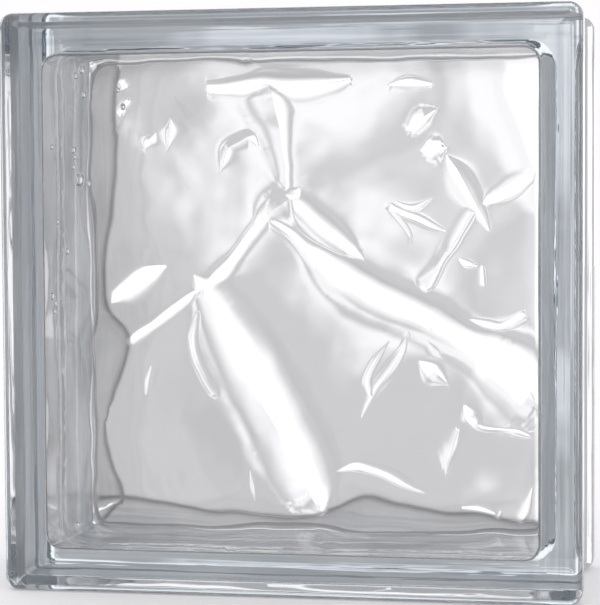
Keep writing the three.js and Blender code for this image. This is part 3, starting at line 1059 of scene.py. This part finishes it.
@dataclass(frozen=True)
class Ripple:
    """A seeded wandering line, used for the uneven glass at the seam."""

    seed: int
    shortest: float
    longest: float
    waves: int = 14

    def at(self, place: np.ndarray) -> np.ndarray:
        """Draws the line.

        Args:
            place: places along it, in millimetres.

        Returns:
            The line's height at each, about -1 to 1.
        """
        draw = np.random.default_rng(self.seed)
        lengths = np.exp(draw.uniform(math.log(self.shortest), math.log(self.longest), self.waves))
        phases = draw.uniform(0, TURN, self.waves)
        heights = np.sqrt(lengths / self.longest)
        total = sum(h * np.sin(TURN * place / l + p) for h, l, p in zip(heights, lengths, phases))
        return total / heights.sum() * 2


@dataclass(frozen=True)
class RoundedSquare:
    """A round-cornered rectangle, drawn as a ring of as many points at every inset."""

    width: float
    height: float
    corner_radius: float
    smallest_radius: float
    corner_steps: int
    side_steps: int

    def ring(self, inset: np.ndarray | float) -> np.ndarray:
        """Draws the ring.

        Args:
            inset: how far inside the outline it lies, for all of its points or for each.

        Returns:
            The points' x and z from the middle, anticlockwise from the right side.
        """
        steps = self.corner_steps + self.side_steps
        corner, step = np.divmod(np.arange(4 * steps), steps)
        inset = np.broadcast_to(inset, corner.shape)
        radius = np.maximum(self.corner_radius - inset, self.smallest_radius)
        turn = corner + np.minimum(step / self.corner_steps, 1)
        share = np.maximum(step - self.corner_steps, 0)[:, None] / self.side_steps
        here = self._on_corner(corner, turn, inset, radius)
        following = self._on_corner((corner + 1) % 4, corner + 1, inset, radius)
        return here + (following - here) * share

    def _on_corner(self, corner: np.ndarray, turn: np.ndarray, inset: np.ndarray,
                   radius: np.ndarray) -> np.ndarray:
        """Places points on the corners' rounds.

        Args:
            corner: which corner each point is on, from the top right one.
            turn: its angle, in quarter turns.
            inset: its inset.
            radius: its corner's radius.

        Returns:
            The points' x and z.
        """
        right = np.where((corner == 0) | (corner == 3), 1, -1)
        up = np.where(corner < 2, 1, -1)
        angle = RIGHT_ANGLE * turn
        return np.column_stack([
            right * (self.width / 2 - inset - radius) + radius * np.cos(angle),
            up * (self.height / 2 - inset - radius) + radius * np.sin(angle),
        ])


@dataclass
class ShellMesh:
    """Vertices and faces gathered from the pieces of one surface."""

    points: list[np.ndarray] = field(default_factory=list)
    faces: list[tuple[int, ...]] = field(default_factory=list)
    parts: list[int] = field(default_factory=list)
    normals: list[tuple[int, np.ndarray]] = field(default_factory=list)
    shades: list[np.ndarray] = field(default_factory=list)
    count: int = 0
    corners: int = 0

    def add(self, points: np.ndarray, shade: np.ndarray | float = 0) -> np.ndarray:
        """Adds vertices.

        Args:
            points: one row of x, y and z each.
            shade: how much the glass is shaded there, for all of them or for each.

        Returns:
            The numbers of the new vertices.
        """
        numbers = np.arange(self.count, self.count + len(points))
        self.points.append(points)
        self.shades.append(np.broadcast_to(shade, len(points)))
        self.count += len(points)
        return numbers

    def add_faces(self, faces: np.ndarray, part: Part | np.ndarray = Part.CLEAR,
                  normals: np.ndarray | None = None) -> None:
        """Adds faces that have as many corners each.

        Args:
            faces: one row of vertex numbers each.
            part: the kind of surface, for all of them or for each.
            normals: the normals at their corners, or None for those of a smooth surface.
        """
        if normals is not None:
            self.normals.append((self.corners, normals))
        self.faces.extend(map(tuple, faces.tolist()))
        self.parts += np.broadcast_to(part, len(faces)).tolist()
        self.corners += faces.size

    def bridge(self, first: np.ndarray, second: np.ndarray, part: Part | np.ndarray = Part.CLEAR) -> None:
        """Joins two closed rings of as many vertices by four-sided faces."""
        self.add_faces(np.column_stack([first, np.roll(first, -1), np.roll(second, -1), second]), part)

    def object(self, name: str) -> bpy.types.Object:
        """Makes the mesh object and links it to the scene.

        Args:
            name: the object's name.

        Returns:
            The object, with its materials' slots, its shade and its normals set.
        """
        mesh = bpy.data.meshes.new(name)
        mesh.from_pydata((np.vstack(self.points) * MM).tolist(), [], self.faces)
        mesh.shade_smooth()
        mesh.polygons.foreach_set("material_index", self.parts)
        shade = mesh.attributes.new(SHADE, "FLOAT", "POINT")
        shade.data.foreach_set("value", np.concatenate(self.shades).astype(np.float32))
        normals = np.empty(3 * self.corners, np.float32)
        mesh.corner_normals.foreach_get("vector", normals)
        normals = normals.reshape(-1, 3)
        for first, given in self.normals:
            normals[first:first + len(given)] = given
        mesh.normals_split_custom_set(normals.tolist())
        made = bpy.data.objects.new(name, mesh)
        bpy.context.scene.collection.objects.link(made)
        return made


@dataclass(frozen=True)
class PaneFace:
    """The inner face of one pane, in triangles whose edges follow the creases of its relief."""

    pane: Pane
    relief: Relief
    face_glass: float
    thinnest_glass: float
    half_depth: float
    row_step: float = 1.1
    open_step: float = 2.2
    # How far points stay from the border, from its rounded corners and from each other
    border_gap: float = 0.7
    corner_gap: float = 1
    row_gap: float = 0.16
    open_gap: float = 0.45

    def depth(self, points: np.ndarray) -> np.ndarray:
        """Gives the inner face's depth from the outer face at points of x and z."""
        return np.maximum(self.face_glass + self.relief.stand(*points.T), self.thinnest_glass)

    def _inner_points(self, border: np.ndarray) -> tuple[np.ndarray, np.ndarray]:
        """Chooses the points inside the border.

        Args:
            border: the border's points.

        Returns:
            The points, and the pairs of them that edges join.
        """
        reach = border.max(axis=0) - self.border_gap
        corner_reach = abs(border).sum(axis=1).max() - self.corner_gap

        def inside(points: np.ndarray) -> np.ndarray:
            """Keeps the points that lie well inside the border and its rounded corners."""
            near = (abs(points) < reach).all(axis=1) & (abs(points).sum(axis=1) < corner_reach)
            return points[near]

        creases, others = self.relief.rows(self.row_step)
        chosen, pairs, count = [], [], 0
        for row in creases:
            row = inside(row)
            chosen.append(row)
            pairs.append(np.column_stack([np.arange(len(row) - 1), np.arange(1, len(row))]) + count)
            count += len(row)
        lines = np.arange(-reach[0], reach[0], self.open_step)
        open_ground = np.stack(np.meshgrid(lines, lines), axis=-1).reshape(-1, 2)
        for points, gap in ((np.vstack(others), self.row_gap), (open_ground, self.open_gap * self.open_step)):
            taken = np.vstack(chosen)
            chosen.append(self._clear_of(inside(points), taken, gap))
        return np.vstack(chosen), np.vstack(pairs)

    @staticmethod
    def _clear_of(points: np.ndarray, taken: np.ndarray, gap: float) -> np.ndarray:
        """Thins out points.

        Args:
            points: the points.
            taken: the points that are already taken.
            gap: how far from those and from each other they stay.

        Returns:
            The points that are kept.
        """
        tree = KDTree(len(taken) + len(points))
        for i, point in enumerate(np.vstack([taken, points])):
            tree.insert((*point, 0), i)
        tree.balance()
        kept = []
        dropped = set()
        for i, point in enumerate(points, len(taken)):
            near = [number for _, number, _ in tree.find_range((*point, 0), gap) if number != i]
            if any(number < i and number not in dropped for number in near):
                dropped.add(i)
            else:
                kept.append(point)
        return np.array(kept)

    def build(self, mesh: ShellMesh, border: np.ndarray, middle_z: float) -> np.ndarray:
        """Adds the face.

        Args:
            mesh: where it is added.
            border: the border's points, anticlockwise.
            middle_z: the height of the pane's middle.

        Returns:
            The numbers of the border's vertices.
        """
        inner, pairs = self._inner_points(border)
        given = np.vstack([border, inner])
        outline = [list(range(len(border)))]
        points, _, faces, origins, _, _ = delaunay_2d_cdt(
            [Vector(point) for point in given], (pairs + len(border)).tolist(), outline,
            INSIDE_OUTLINE, SAME_POINT)
        flat = np.array([point[:] for point in points])
        faces = np.array([face[:] for face in faces])
        if self.pane is Pane.FRONT:
            faces = faces[:, ::-1]
        y = self.pane.value * (self.half_depth - self.depth(flat))
        shade = self.relief.foot_shade(*flat.T)
        numbers = mesh.add(np.column_stack([flat[:, 0], y, flat[:, 1] + middle_z]), shade)
        mesh.add_faces(numbers[faces], normals=self._normals(flat, faces))
        place = {origin: i for i, origins_here in enumerate(origins) for origin in origins_here}
        return numbers[[place[i] for i in range(len(border))]]

    def _normals(self, flat: np.ndarray, faces: np.ndarray, nudge: float = 0.15,
                 step: float = 0.005) -> np.ndarray:
        """Takes the normals at the faces' corners from the relief, so that creases stay sharp.

        Args:
            flat: the vertices' x and z.
            faces: the triangles.
            nudge: how far inside each face its corners are measured, as a share of the face.
            step: the distance over which a slope is measured.

        Returns:
            One normal for each corner.
        """
        corners = flat[faces]
        spots = (corners + (corners.mean(axis=1, keepdims=True) - corners) * nudge).reshape(-1, 2)
        slope_x = self._slope(spots, np.array([step, 0]))
        slope_z = self._slope(spots, np.array([0, step]))
        normals = np.column_stack([-slope_x, np.full(len(spots), -self.pane.value), -slope_z])
        return normals / np.linalg.norm(normals, axis=1, keepdims=True)

    def _slope(self, spots: np.ndarray, step: np.ndarray) -> np.ndarray:
        """Measures the slope, on the smoother side of each spot.

        Args:
            spots: the spots' x and z.
            step: the step, along x or z, over which it is measured.

        Returns:
            The slope at each spot.
        """
        here, length = self.depth(spots), np.abs(step).sum()
        ahead = (self.depth(spots + step) - here) / length
        behind = (here - self.depth(spots - step)) / length
        return np.where(abs(ahead) < abs(behind), ahead, behind)


@dataclass(frozen=True)
class Bubble:
    """A small air bubble in the glass, drawn out along the wall it lies in."""

    place: np.ndarray
    radius: float
    stretch: float = 1.4
    rings: int = 8
    sides: int = 14

    def add_to(self, mesh: ShellMesh) -> None:
        """Adds the bubble's skin, which faces the air inside it.

        Args:
            mesh: where it is added.
        """
        rings = []
        for tilt in np.linspace(0, TURN / 2, self.rings + 2)[1:-1]:
            turns = np.linspace(0, TURN, self.sides, endpoint=False)
            across = self.radius * math.sin(tilt)
            up = np.full(self.sides, self.radius * self.stretch * math.cos(tilt))
            ring = np.column_stack([across * np.cos(turns), across * np.sin(turns), up])
            rings.append(mesh.add(ring + self.place))
        for upper, lower in zip(rings, rings[1:]):
            mesh.bridge(upper, lower)
        mesh.add_faces(rings[0][None, ::-1])
        mesh.add_faces(rings[-1][None])


@dataclass
class FusedBlock:
    """The two pressed halves as the one body of glass that fusing makes of them."""

    width: float
    thickness: float
    height: float
    corner_radius: float = 4.5
    face_edge_radius: float = 4
    rim_land: float = 9
    rim_shoulder: float = 7
    channel_depth: float = 3.5
    seam_bead_height: float = 1.2
    seam_bead_width: float = 7
    face_glass: float = 8
    thinnest_glass: float = 5
    # A bubble's radius, as a share of the one that shows
    bubble_share: float = 0.95
    rim_wall: float = 13
    draft: float = 3.5
    cavity_corner_radius: float = 6
    cavity_fillet: float = 1
    fillet_shade: float = 0.75
    smallest_radius: float = 1.5
    fillet_rows: int = 9
    slope_step: float = 0.3
    steepest_start: float = 1.5
    coats: tuple[tuple[Wall, float, float], ...] = (
        (Wall.LEFT, 16.3, 4), (Wall.RIGHT, 16.2, 17), (Wall.BOTTOM, 22, 4), (Wall.TOP, 13, 4))
    station_step: float = 1.2
    # The outline's rounds: how far from each corner they start, and what holds the flats beside them flat
    land_round: float = 1.2
    shoulder_round: float = 1.6
    round_steps: int = 6
    round_support: float = 0.3
    face_edge_steps: int = 12
    bead_lead: float = 1
    bead_steps: int = 10
    # The cavity's walls, and the uneven bead that the seam leaves inside and outside
    inner_bead_height: float = 0.9
    inner_bead_width: float = 2.2
    near_seam_beads: float = 3
    wall_steps: int = 5
    seam_steps: int = 25
    wander_height: float = 0.9
    wander: Ripple = Ripple(SEED, shortest=18, longest=90)
    lump_height: float = 0.6
    lumps: Ripple = Ripple(SEED + 1, shortest=3, longest=16)
    uneven_height: float = 0.35
    unevenness: Ripple = Ripple(SEED + 2, shortest=5, longest=40)

    @property
    def half_depth(self) -> float:
        """The depth of one half."""
        return self.thickness / 2

    # The cavity

    def _opening(self) -> RoundedSquare:
        """Describes the cavity's outline where its walls meet the panes."""
        return RoundedSquare(self.width - 2 * self.rim_wall, self.height - 2 * self.rim_wall,
                             self.cavity_corner_radius, self.smallest_radius, corner_steps=8, side_steps=92)

    def _pane(self, mesh: ShellMesh, pane: Pane, relief: Relief) -> tuple[np.ndarray, np.ndarray]:
        """Adds one pane's inner face with the fillet round it.

        Args:
            mesh: where it is added.
            pane: which pane.
            relief: its relief.

        Returns:
            The numbers of the fillet's last vertices, and their depths from the outer face.
        """
        opening = self._opening()
        border = opening.ring(self.cavity_fillet)
        inside = opening.ring(self.cavity_fillet + self.slope_step)
        face = PaneFace(pane, relief, self.face_glass, self.thinnest_glass, self.half_depth)
        previous = face.build(mesh, border, self.height / 2)
        start = face.depth(border)
        slope = (start - face.depth(inside)) / self.slope_step
        first_bend = np.arctan(np.clip(slope, 0, self.steepest_start))
        radius = self.cavity_fillet / (1 - np.sin(first_bend))
        for share in np.linspace(0, 1, self.fillet_rows + 1)[1:]:
            bend = first_bend + (RIGHT_ANGLE - first_bend) * share
            depth = start + radius * (np.cos(first_bend) - np.cos(bend))
            ring = opening.ring(radius * (1 - np.sin(bend)))
            points = self._standing(ring, pane.value * (self.half_depth - depth))
            numbers = mesh.add(points, self.fillet_shade)
            self._join(mesh, previous, numbers, pane)
            previous = numbers
        return previous, start + radius * np.cos(first_bend)

    @staticmethod
    def _join(mesh: ShellMesh, outer: np.ndarray, inner: np.ndarray, pane: Pane) -> None:
        """Joins two rings of the cavity, of which the first is the nearer one to the given pane."""
        mesh.bridge(*((outer, inner) if pane is Pane.FRONT else (inner, outer)))

    def _standing(self, ring: np.ndarray, y: np.ndarray | float) -> np.ndarray:
        """Stands a ring of x and z up in the block at the given y."""
        return np.column_stack([ring[:, 0], np.broadcast_to(y, len(ring)), ring[:, 1] + self.height / 2])

    def _wall(self, y: np.ndarray, wall_start: np.ndarray) -> np.ndarray:
        """Makes one ring of the drafted side walls, with the uneven bead of the seam.

        Args:
            y: where each of its points lies.
            wall_start: the depth at which the wall starts, for each point.

        Returns:
            The ring's points.
        """
        opened = (self.half_depth - abs(y) - wall_start) / (self.half_depth - wall_start)
        ring = self._opening().ring(-self.draft * opened)
        place = np.cumsum(np.hypot(*np.diff(ring, axis=0, append=ring[:1]).T))
        wander = self.wander_height * self.wander.at(place)
        lumps = 1 + self.lump_height * self.lumps.at(place)
        bead = self.inner_bead_height * lumps * np.exp(-(((y - wander) / self.inner_bead_width) ** 2))
        return self._standing(self._opening().ring(bead - self.draft * opened), y)

    def _cavity(self, mesh: ShellMesh) -> None:
        """Adds the cavity's surface, facing into the cavity.

        Args:
            mesh: where it is added.
        """
        near_seam = self.near_seam_beads * self.inner_bead_width
        ends = {}
        for pane, relief in ((Pane.FRONT, front_relief()), (Pane.BACK, back_relief())):
            previous, wall_start = self._pane(mesh, pane, relief)
            for share in np.linspace(0, 1, self.wall_steps)[1:]:
                y = (self.half_depth - wall_start) * (1 - share) + near_seam * share
                ring = mesh.add(self._wall(pane.value * y, wall_start))
                self._join(mesh, previous, ring, pane)
                previous = ring
            ends[pane] = previous, wall_start
        previous = ends[Pane.FRONT][0]
        for y in np.linspace(-near_seam, near_seam, self.seam_steps)[1:-1]:
            wall_start = ends[Pane.BACK if y > 0 else Pane.FRONT][1]
            ring = mesh.add(self._wall(np.full(wall_start.shape, y), wall_start))
            mesh.bridge(previous, ring)
            previous = ring
        mesh.bridge(previous, ends[Pane.BACK][0])

    # The outside

    def _side_profile(self) -> list[tuple[float, float]]:
        """Draws half a block's outer outline.

        Returns:
            The outline's points, as depth from the face and inset from the rim's bed.
        """
        edge, support = self.face_edge_radius, self.round_support
        land_end = (edge + self.rim_land, 0.0)
        shoulder_end = (land_end[0] + self.rim_shoulder, self.channel_depth)
        bead_start = (self.half_depth - self.seam_bead_width / 2, self.channel_depth)
        points = [(0.0, edge + support)]
        for turn in np.linspace(0, RIGHT_ANGLE, self.face_edge_steps):
            points.append((edge * (1 - math.cos(turn)), edge * (1 - math.sin(turn))))
        points.append((edge + support, 0.0))
        points += self._rounded((edge, 0.0), land_end, shoulder_end, self.land_round)
        points += self._rounded(land_end, shoulder_end, bead_start, self.shoulder_round)
        points.append((bead_start[0] - self.bead_lead, self.channel_depth))
        for share in np.linspace(0, 1, self.bead_steps)[1:]:
            rise = self.seam_bead_height * (1 - math.cos(TURN / 2 * share)) / 2
            points.append((bead_start[0] + share * self.seam_bead_width / 2, self.channel_depth - rise))
        return self._subdivided(points)

    def _subdivided(self, points: list[tuple[float, float]]) -> list[tuple[float, float]]:
        """Adds stations to a profile's long flats, at which the coat can start.

        Args:
            points: the profile's points.

        Returns:
            The points with the stations between them.
        """
        every = points[:1]
        for before, after in zip(points, points[1:]):
            count = max(1, round((after[0] - before[0]) / self.station_step))
            every += [tuple(place) for place in np.linspace(before, after, count + 1)[1:]]
        return every

    def _rounded(self, before: tuple[float, float], corner: tuple[float, float],
                 after: tuple[float, float], radius: float) -> list[tuple[float, float]]:
        """Rounds one corner of a profile, with a point beyond each end that holds the flats flat.

        Args:
            before: the point before the corner.
            corner: the corner itself.
            after: the point after it.
            radius: how far from the corner the round starts.

        Returns:
            The points of the round.
        """
        here, back, on = np.array(corner), np.array(before), np.array(after)
        to_back = (back - here) / np.linalg.norm(back - here)
        to_on = (on - here) / np.linalg.norm(on - here)
        start, end = here + to_back * radius, here + to_on * radius
        points = [here + to_back * (radius + self.round_support)]
        for t in np.linspace(0, 1, self.round_steps):
            points.append((1 - t) ** 2 * start + 2 * t * (1 - t) * here + t**2 * end)
        points.append(here + to_on * (radius + self.round_support))
        return [tuple(point) for point in points]

    def _outside(self, mesh: ShellMesh) -> None:
        """Adds the outer surface, from the front face round the rims and the seam to the back face.

        Args:
            mesh: where it is added.
        """
        outline = RoundedSquare(self.width, self.height, self.corner_radius, self.smallest_radius,
                                corner_steps=12, side_steps=36)
        half = self._side_profile()
        stations = [(depth - self.half_depth, inset) for depth, inset in half]
        stations += [(-y, inset) for y, inset in reversed(stations[:-1])]
        place = np.cumsum(np.hypot(*np.diff(outline.ring(0), axis=0, prepend=outline.ring(0)[:1]).T))
        rings = []
        for y, inset in stations:
            near_seam = math.exp(-((y / (self.seam_bead_width / 2)) ** 2) * 2)
            uneven = self.uneven_height * near_seam * self.unevenness.at(place)
            rings.append(mesh.add(self._standing(outline.ring(inset - uneven), y)))
        start, end = self._coat_edges(outline.ring(0))
        for i, (first, second) in enumerate(zip(rings, rings[1:])):
            y = (stations[i][0] + stations[i + 1][0]) / 2
            mesh.bridge(second, first, np.where((start < y) & (y < end), Part.SIDE, Part.CLEAR))
        mesh.add_faces(rings[0][None])
        mesh.add_faces(rings[-1][None, ::-1])

    def _coat_edges(self, ring: np.ndarray) -> tuple[np.ndarray, np.ndarray]:
        """Finds where the matt coat of the sides starts and ends.

        Args:
            ring: the outline's points.

        Returns:
            The y at which the coat starts and ends, for each of the outline's segments.
        """
        middles = (ring + np.roll(ring, -1, axis=0)) / 2
        nearest = np.argmax([middles @ wall.value for wall, _, _ in self.coats], axis=0)
        depths = np.array([coat[1:] for coat in self.coats])[nearest]
        return depths[:, 0] - self.half_depth, self.half_depth - depths[:, 1]

    def _bubbles(self, mesh: ShellMesh) -> None:
        """Adds the air bubbles in the middle of the front pane's glass.

        Args:
            mesh: where they are added.
        """
        sight = Sight(Pane.FRONT)
        for right, down, seen_radius in BUBBLES:
            x, z = sight.place((right, down))
            place = np.round((x, self.face_glass / 2 - self.half_depth, z + self.height / 2), 1)
            radius = float(f"{seen_radius * self.bubble_share:.2g}")
            Bubble(place, radius).add_to(mesh)

    def build(self, name: str) -> bpy.types.Object:
        """Makes the block's mesh object.

        Args:
            name: the object's name.

        Returns:
            The object, linked to the scene.
        """
        shell = ShellMesh()
        self._outside(shell)
        self._cavity(shell)
        self._bubbles(shell)
        return shell.object(name)

    def dress(self, body: bpy.types.Object, finish: ClearGlass) -> None:
        """Gives the block its finish and its place in the frame.

        Args:
            body: the block's mesh object.
            finish: the finish of its clear surface.
        """
        body.data.materials.append(finish.material("clear_pressed_glass"))
        body.data.materials.append(MattCoat(finish).material("matt_coated_side"))
        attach(body, "root")
        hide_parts("front_half", "back_half")


# ---------------------------------------------------------------------------------------------
# The studio
# ---------------------------------------------------------------------------------------------


@dataclass(frozen=True)
class Window:
    """A soft-edged rectangle of directions round a side's axis, in degrees."""

    left: float
    right: float
    down: float
    up: float
    edge: float

    def mask(self, bearing: Value, rise: Value) -> Value:
        """Tells where the window is.

        Args:
            bearing: how far a direction lies to the right of the side's axis.
            rise: how far it lies above the axis.

        Returns:
            The mask: 1 inside the window.
        """
        across = bearing.band(-self.left, self.right, self.edge)
        return across * rise.band(-self.down, self.up, self.edge)


@dataclass(frozen=True)
class Studio:
    """The floor and the light tent round the block, alike at its front and its back."""

    floor_size: float = 6.0
    colour: tuple = (1.0, 0.982, 1.0, 1.0)
    turn: float = 11
    dip: float = 3
    quiet: Window = Window(left=9.5, right=9.5, down=12, up=14, edge=4.5)
    bright: Window = Window(left=18, right=28, down=24, up=26, edge=1.5)
    gap: Window = Window(left=25, right=28, down=33, up=36, edge=1.5)
    glows: tuple[Window, ...] = (
        Window(left=2.8, right=2.6, down=-4.6, up=12, edge=1.4),
        Window(left=2.2, right=-0.2, down=-1.9, up=8, edge=1.1),
        Window(left=-1.3, right=4.3, down=1.0, up=2.6, edge=1.3),
        Window(left=-4.7, right=12, down=-3, up=9, edge=1.4),
        Window(left=-4.9, right=12, down=3.4, up=-1.6, edge=0.9),
    )
    glow_light: float = 1.0
    gap_light: float = 0.5
    quiet_light: float = 0.545
    bright_light: float = 1.35
    wall_light: float = 0.45
    panel_light: float = 1.2
    near_panel: Window = Window(left=-37, right=45, down=45, up=50, edge=2)
    right_panel: Window = Window(left=-52, right=74, down=45, up=50, edge=2)
    left_panel: Window = Window(left=37.5, right=-34.5, down=12, up=12, edge=0.8)
    top_panel: Window = Window(left=60, right=60, down=-30, up=44, edge=2)
    low_light: float = 0.45
    wall_start: float = -50
    wall_end: float = -25

    def floor(self) -> bpy.types.Object:
        """Makes the floor."""
        half = self.floor_size / 2
        corners = [(-half, -half, 0), (half, -half, 0), (half, half, 0), (-half, half, 0)]
        mesh = bpy.data.meshes.new("studio_floor")
        mesh.from_pydata(corners, [], [(0, 1, 2, 3)])
        made = bpy.data.objects.new("studio_floor", mesh)
        mesh.materials.append(PaleFloor().material("matt_white_floor"))
        made.visible_transmission = False
        bpy.context.scene.collection.objects.link(made)
        return made

    def tent(self) -> None:
        """Makes the world: plain white to the camera, and softly panelled to glass and matt surfaces."""
        world = bpy.data.worlds.new("light_tent")
        bpy.context.scene.world = world
        graph = Graph(world)
        way = graph.make("ShaderNodeTexCoord", output="Generated")
        x, y, z = (graph.make("ShaderNodeSeparateXYZ", {}, {"Vector": way}, axis) for axis in "XYZ")
        degrees = 180 / math.pi
        bearing = x.bent("ARCTAN2", y) * degrees + self.turn
        bearing = bearing.bent("WRAP", 90, -90)
        rise = z.bent("ARCSINE") * degrees + self.dip

        walls = rise.step(self.wall_start, self.wall_end)
        light = walls * (self.wall_light - self.low_light) + self.low_light
        for panel in (self.near_panel, self.right_panel, self.left_panel, self.top_panel):
            light = light.towards(self.panel_light, panel.mask(bearing, rise))
        light = light.towards(self.gap_light, self.gap.mask(bearing, rise))
        light = light.towards(self.bright_light, self.bright.mask(bearing, rise))
        light = light.towards(self.quiet_light, self.quiet.mask(bearing, rise))
        for glow in self.glows:
            light = light.towards(self.glow_light, glow.mask(bearing, rise))
        mirrored = graph.make("ShaderNodeLightPath", output="Is Glossy Ray")
        passed = graph.make("ShaderNodeLightPath", output="Is Transmission Ray")
        strength = 1 + (light - 1) * (mirrored | passed)
        back = graph.make("ShaderNodeBackground", {}, {"Color": self.colour, "Strength": strength})
        graph.make("ShaderNodeOutputWorld", {}, {"Surface": back})


def let_light_cross_glass(cycles: bpy.types.PropertyGroup, bounces: int = 24) -> None:
    """Lets light cross and mirror inside the glass often enough, so that thick rims don't go black."""
    cycles.max_bounces = cycles.transmission_bounces = cycles.glossy_bounces = bounces


def block_from_frame() -> FusedBlock:
    """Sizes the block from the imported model's box."""
    size = (CAD_HIGH - CAD_LOW) / MM
    return FusedBlock(width=size.x, thickness=size.y, height=size.z)


def main() -> None:
    """Builds and dresses the block and its studio, in order."""
    logging.basicConfig(level=logging.INFO, format="%(message)s")
    bpy.context.scene.view_settings.view_transform = "Standard"
    let_light_cross_glass(bpy.context.scene.cycles)
    Camera().build()
    studio = Studio()
    studio.floor()
    studio.tent()

    block = block_from_frame()
    body = block.build("fused_glass_body")
    block.dress(body, ClearGlass())
    LOG.info("%s: %d faces", body.name, len(body.data.polygons))

    bpy.context.view_layer.update()


if __name__ == "__main__":
    main()
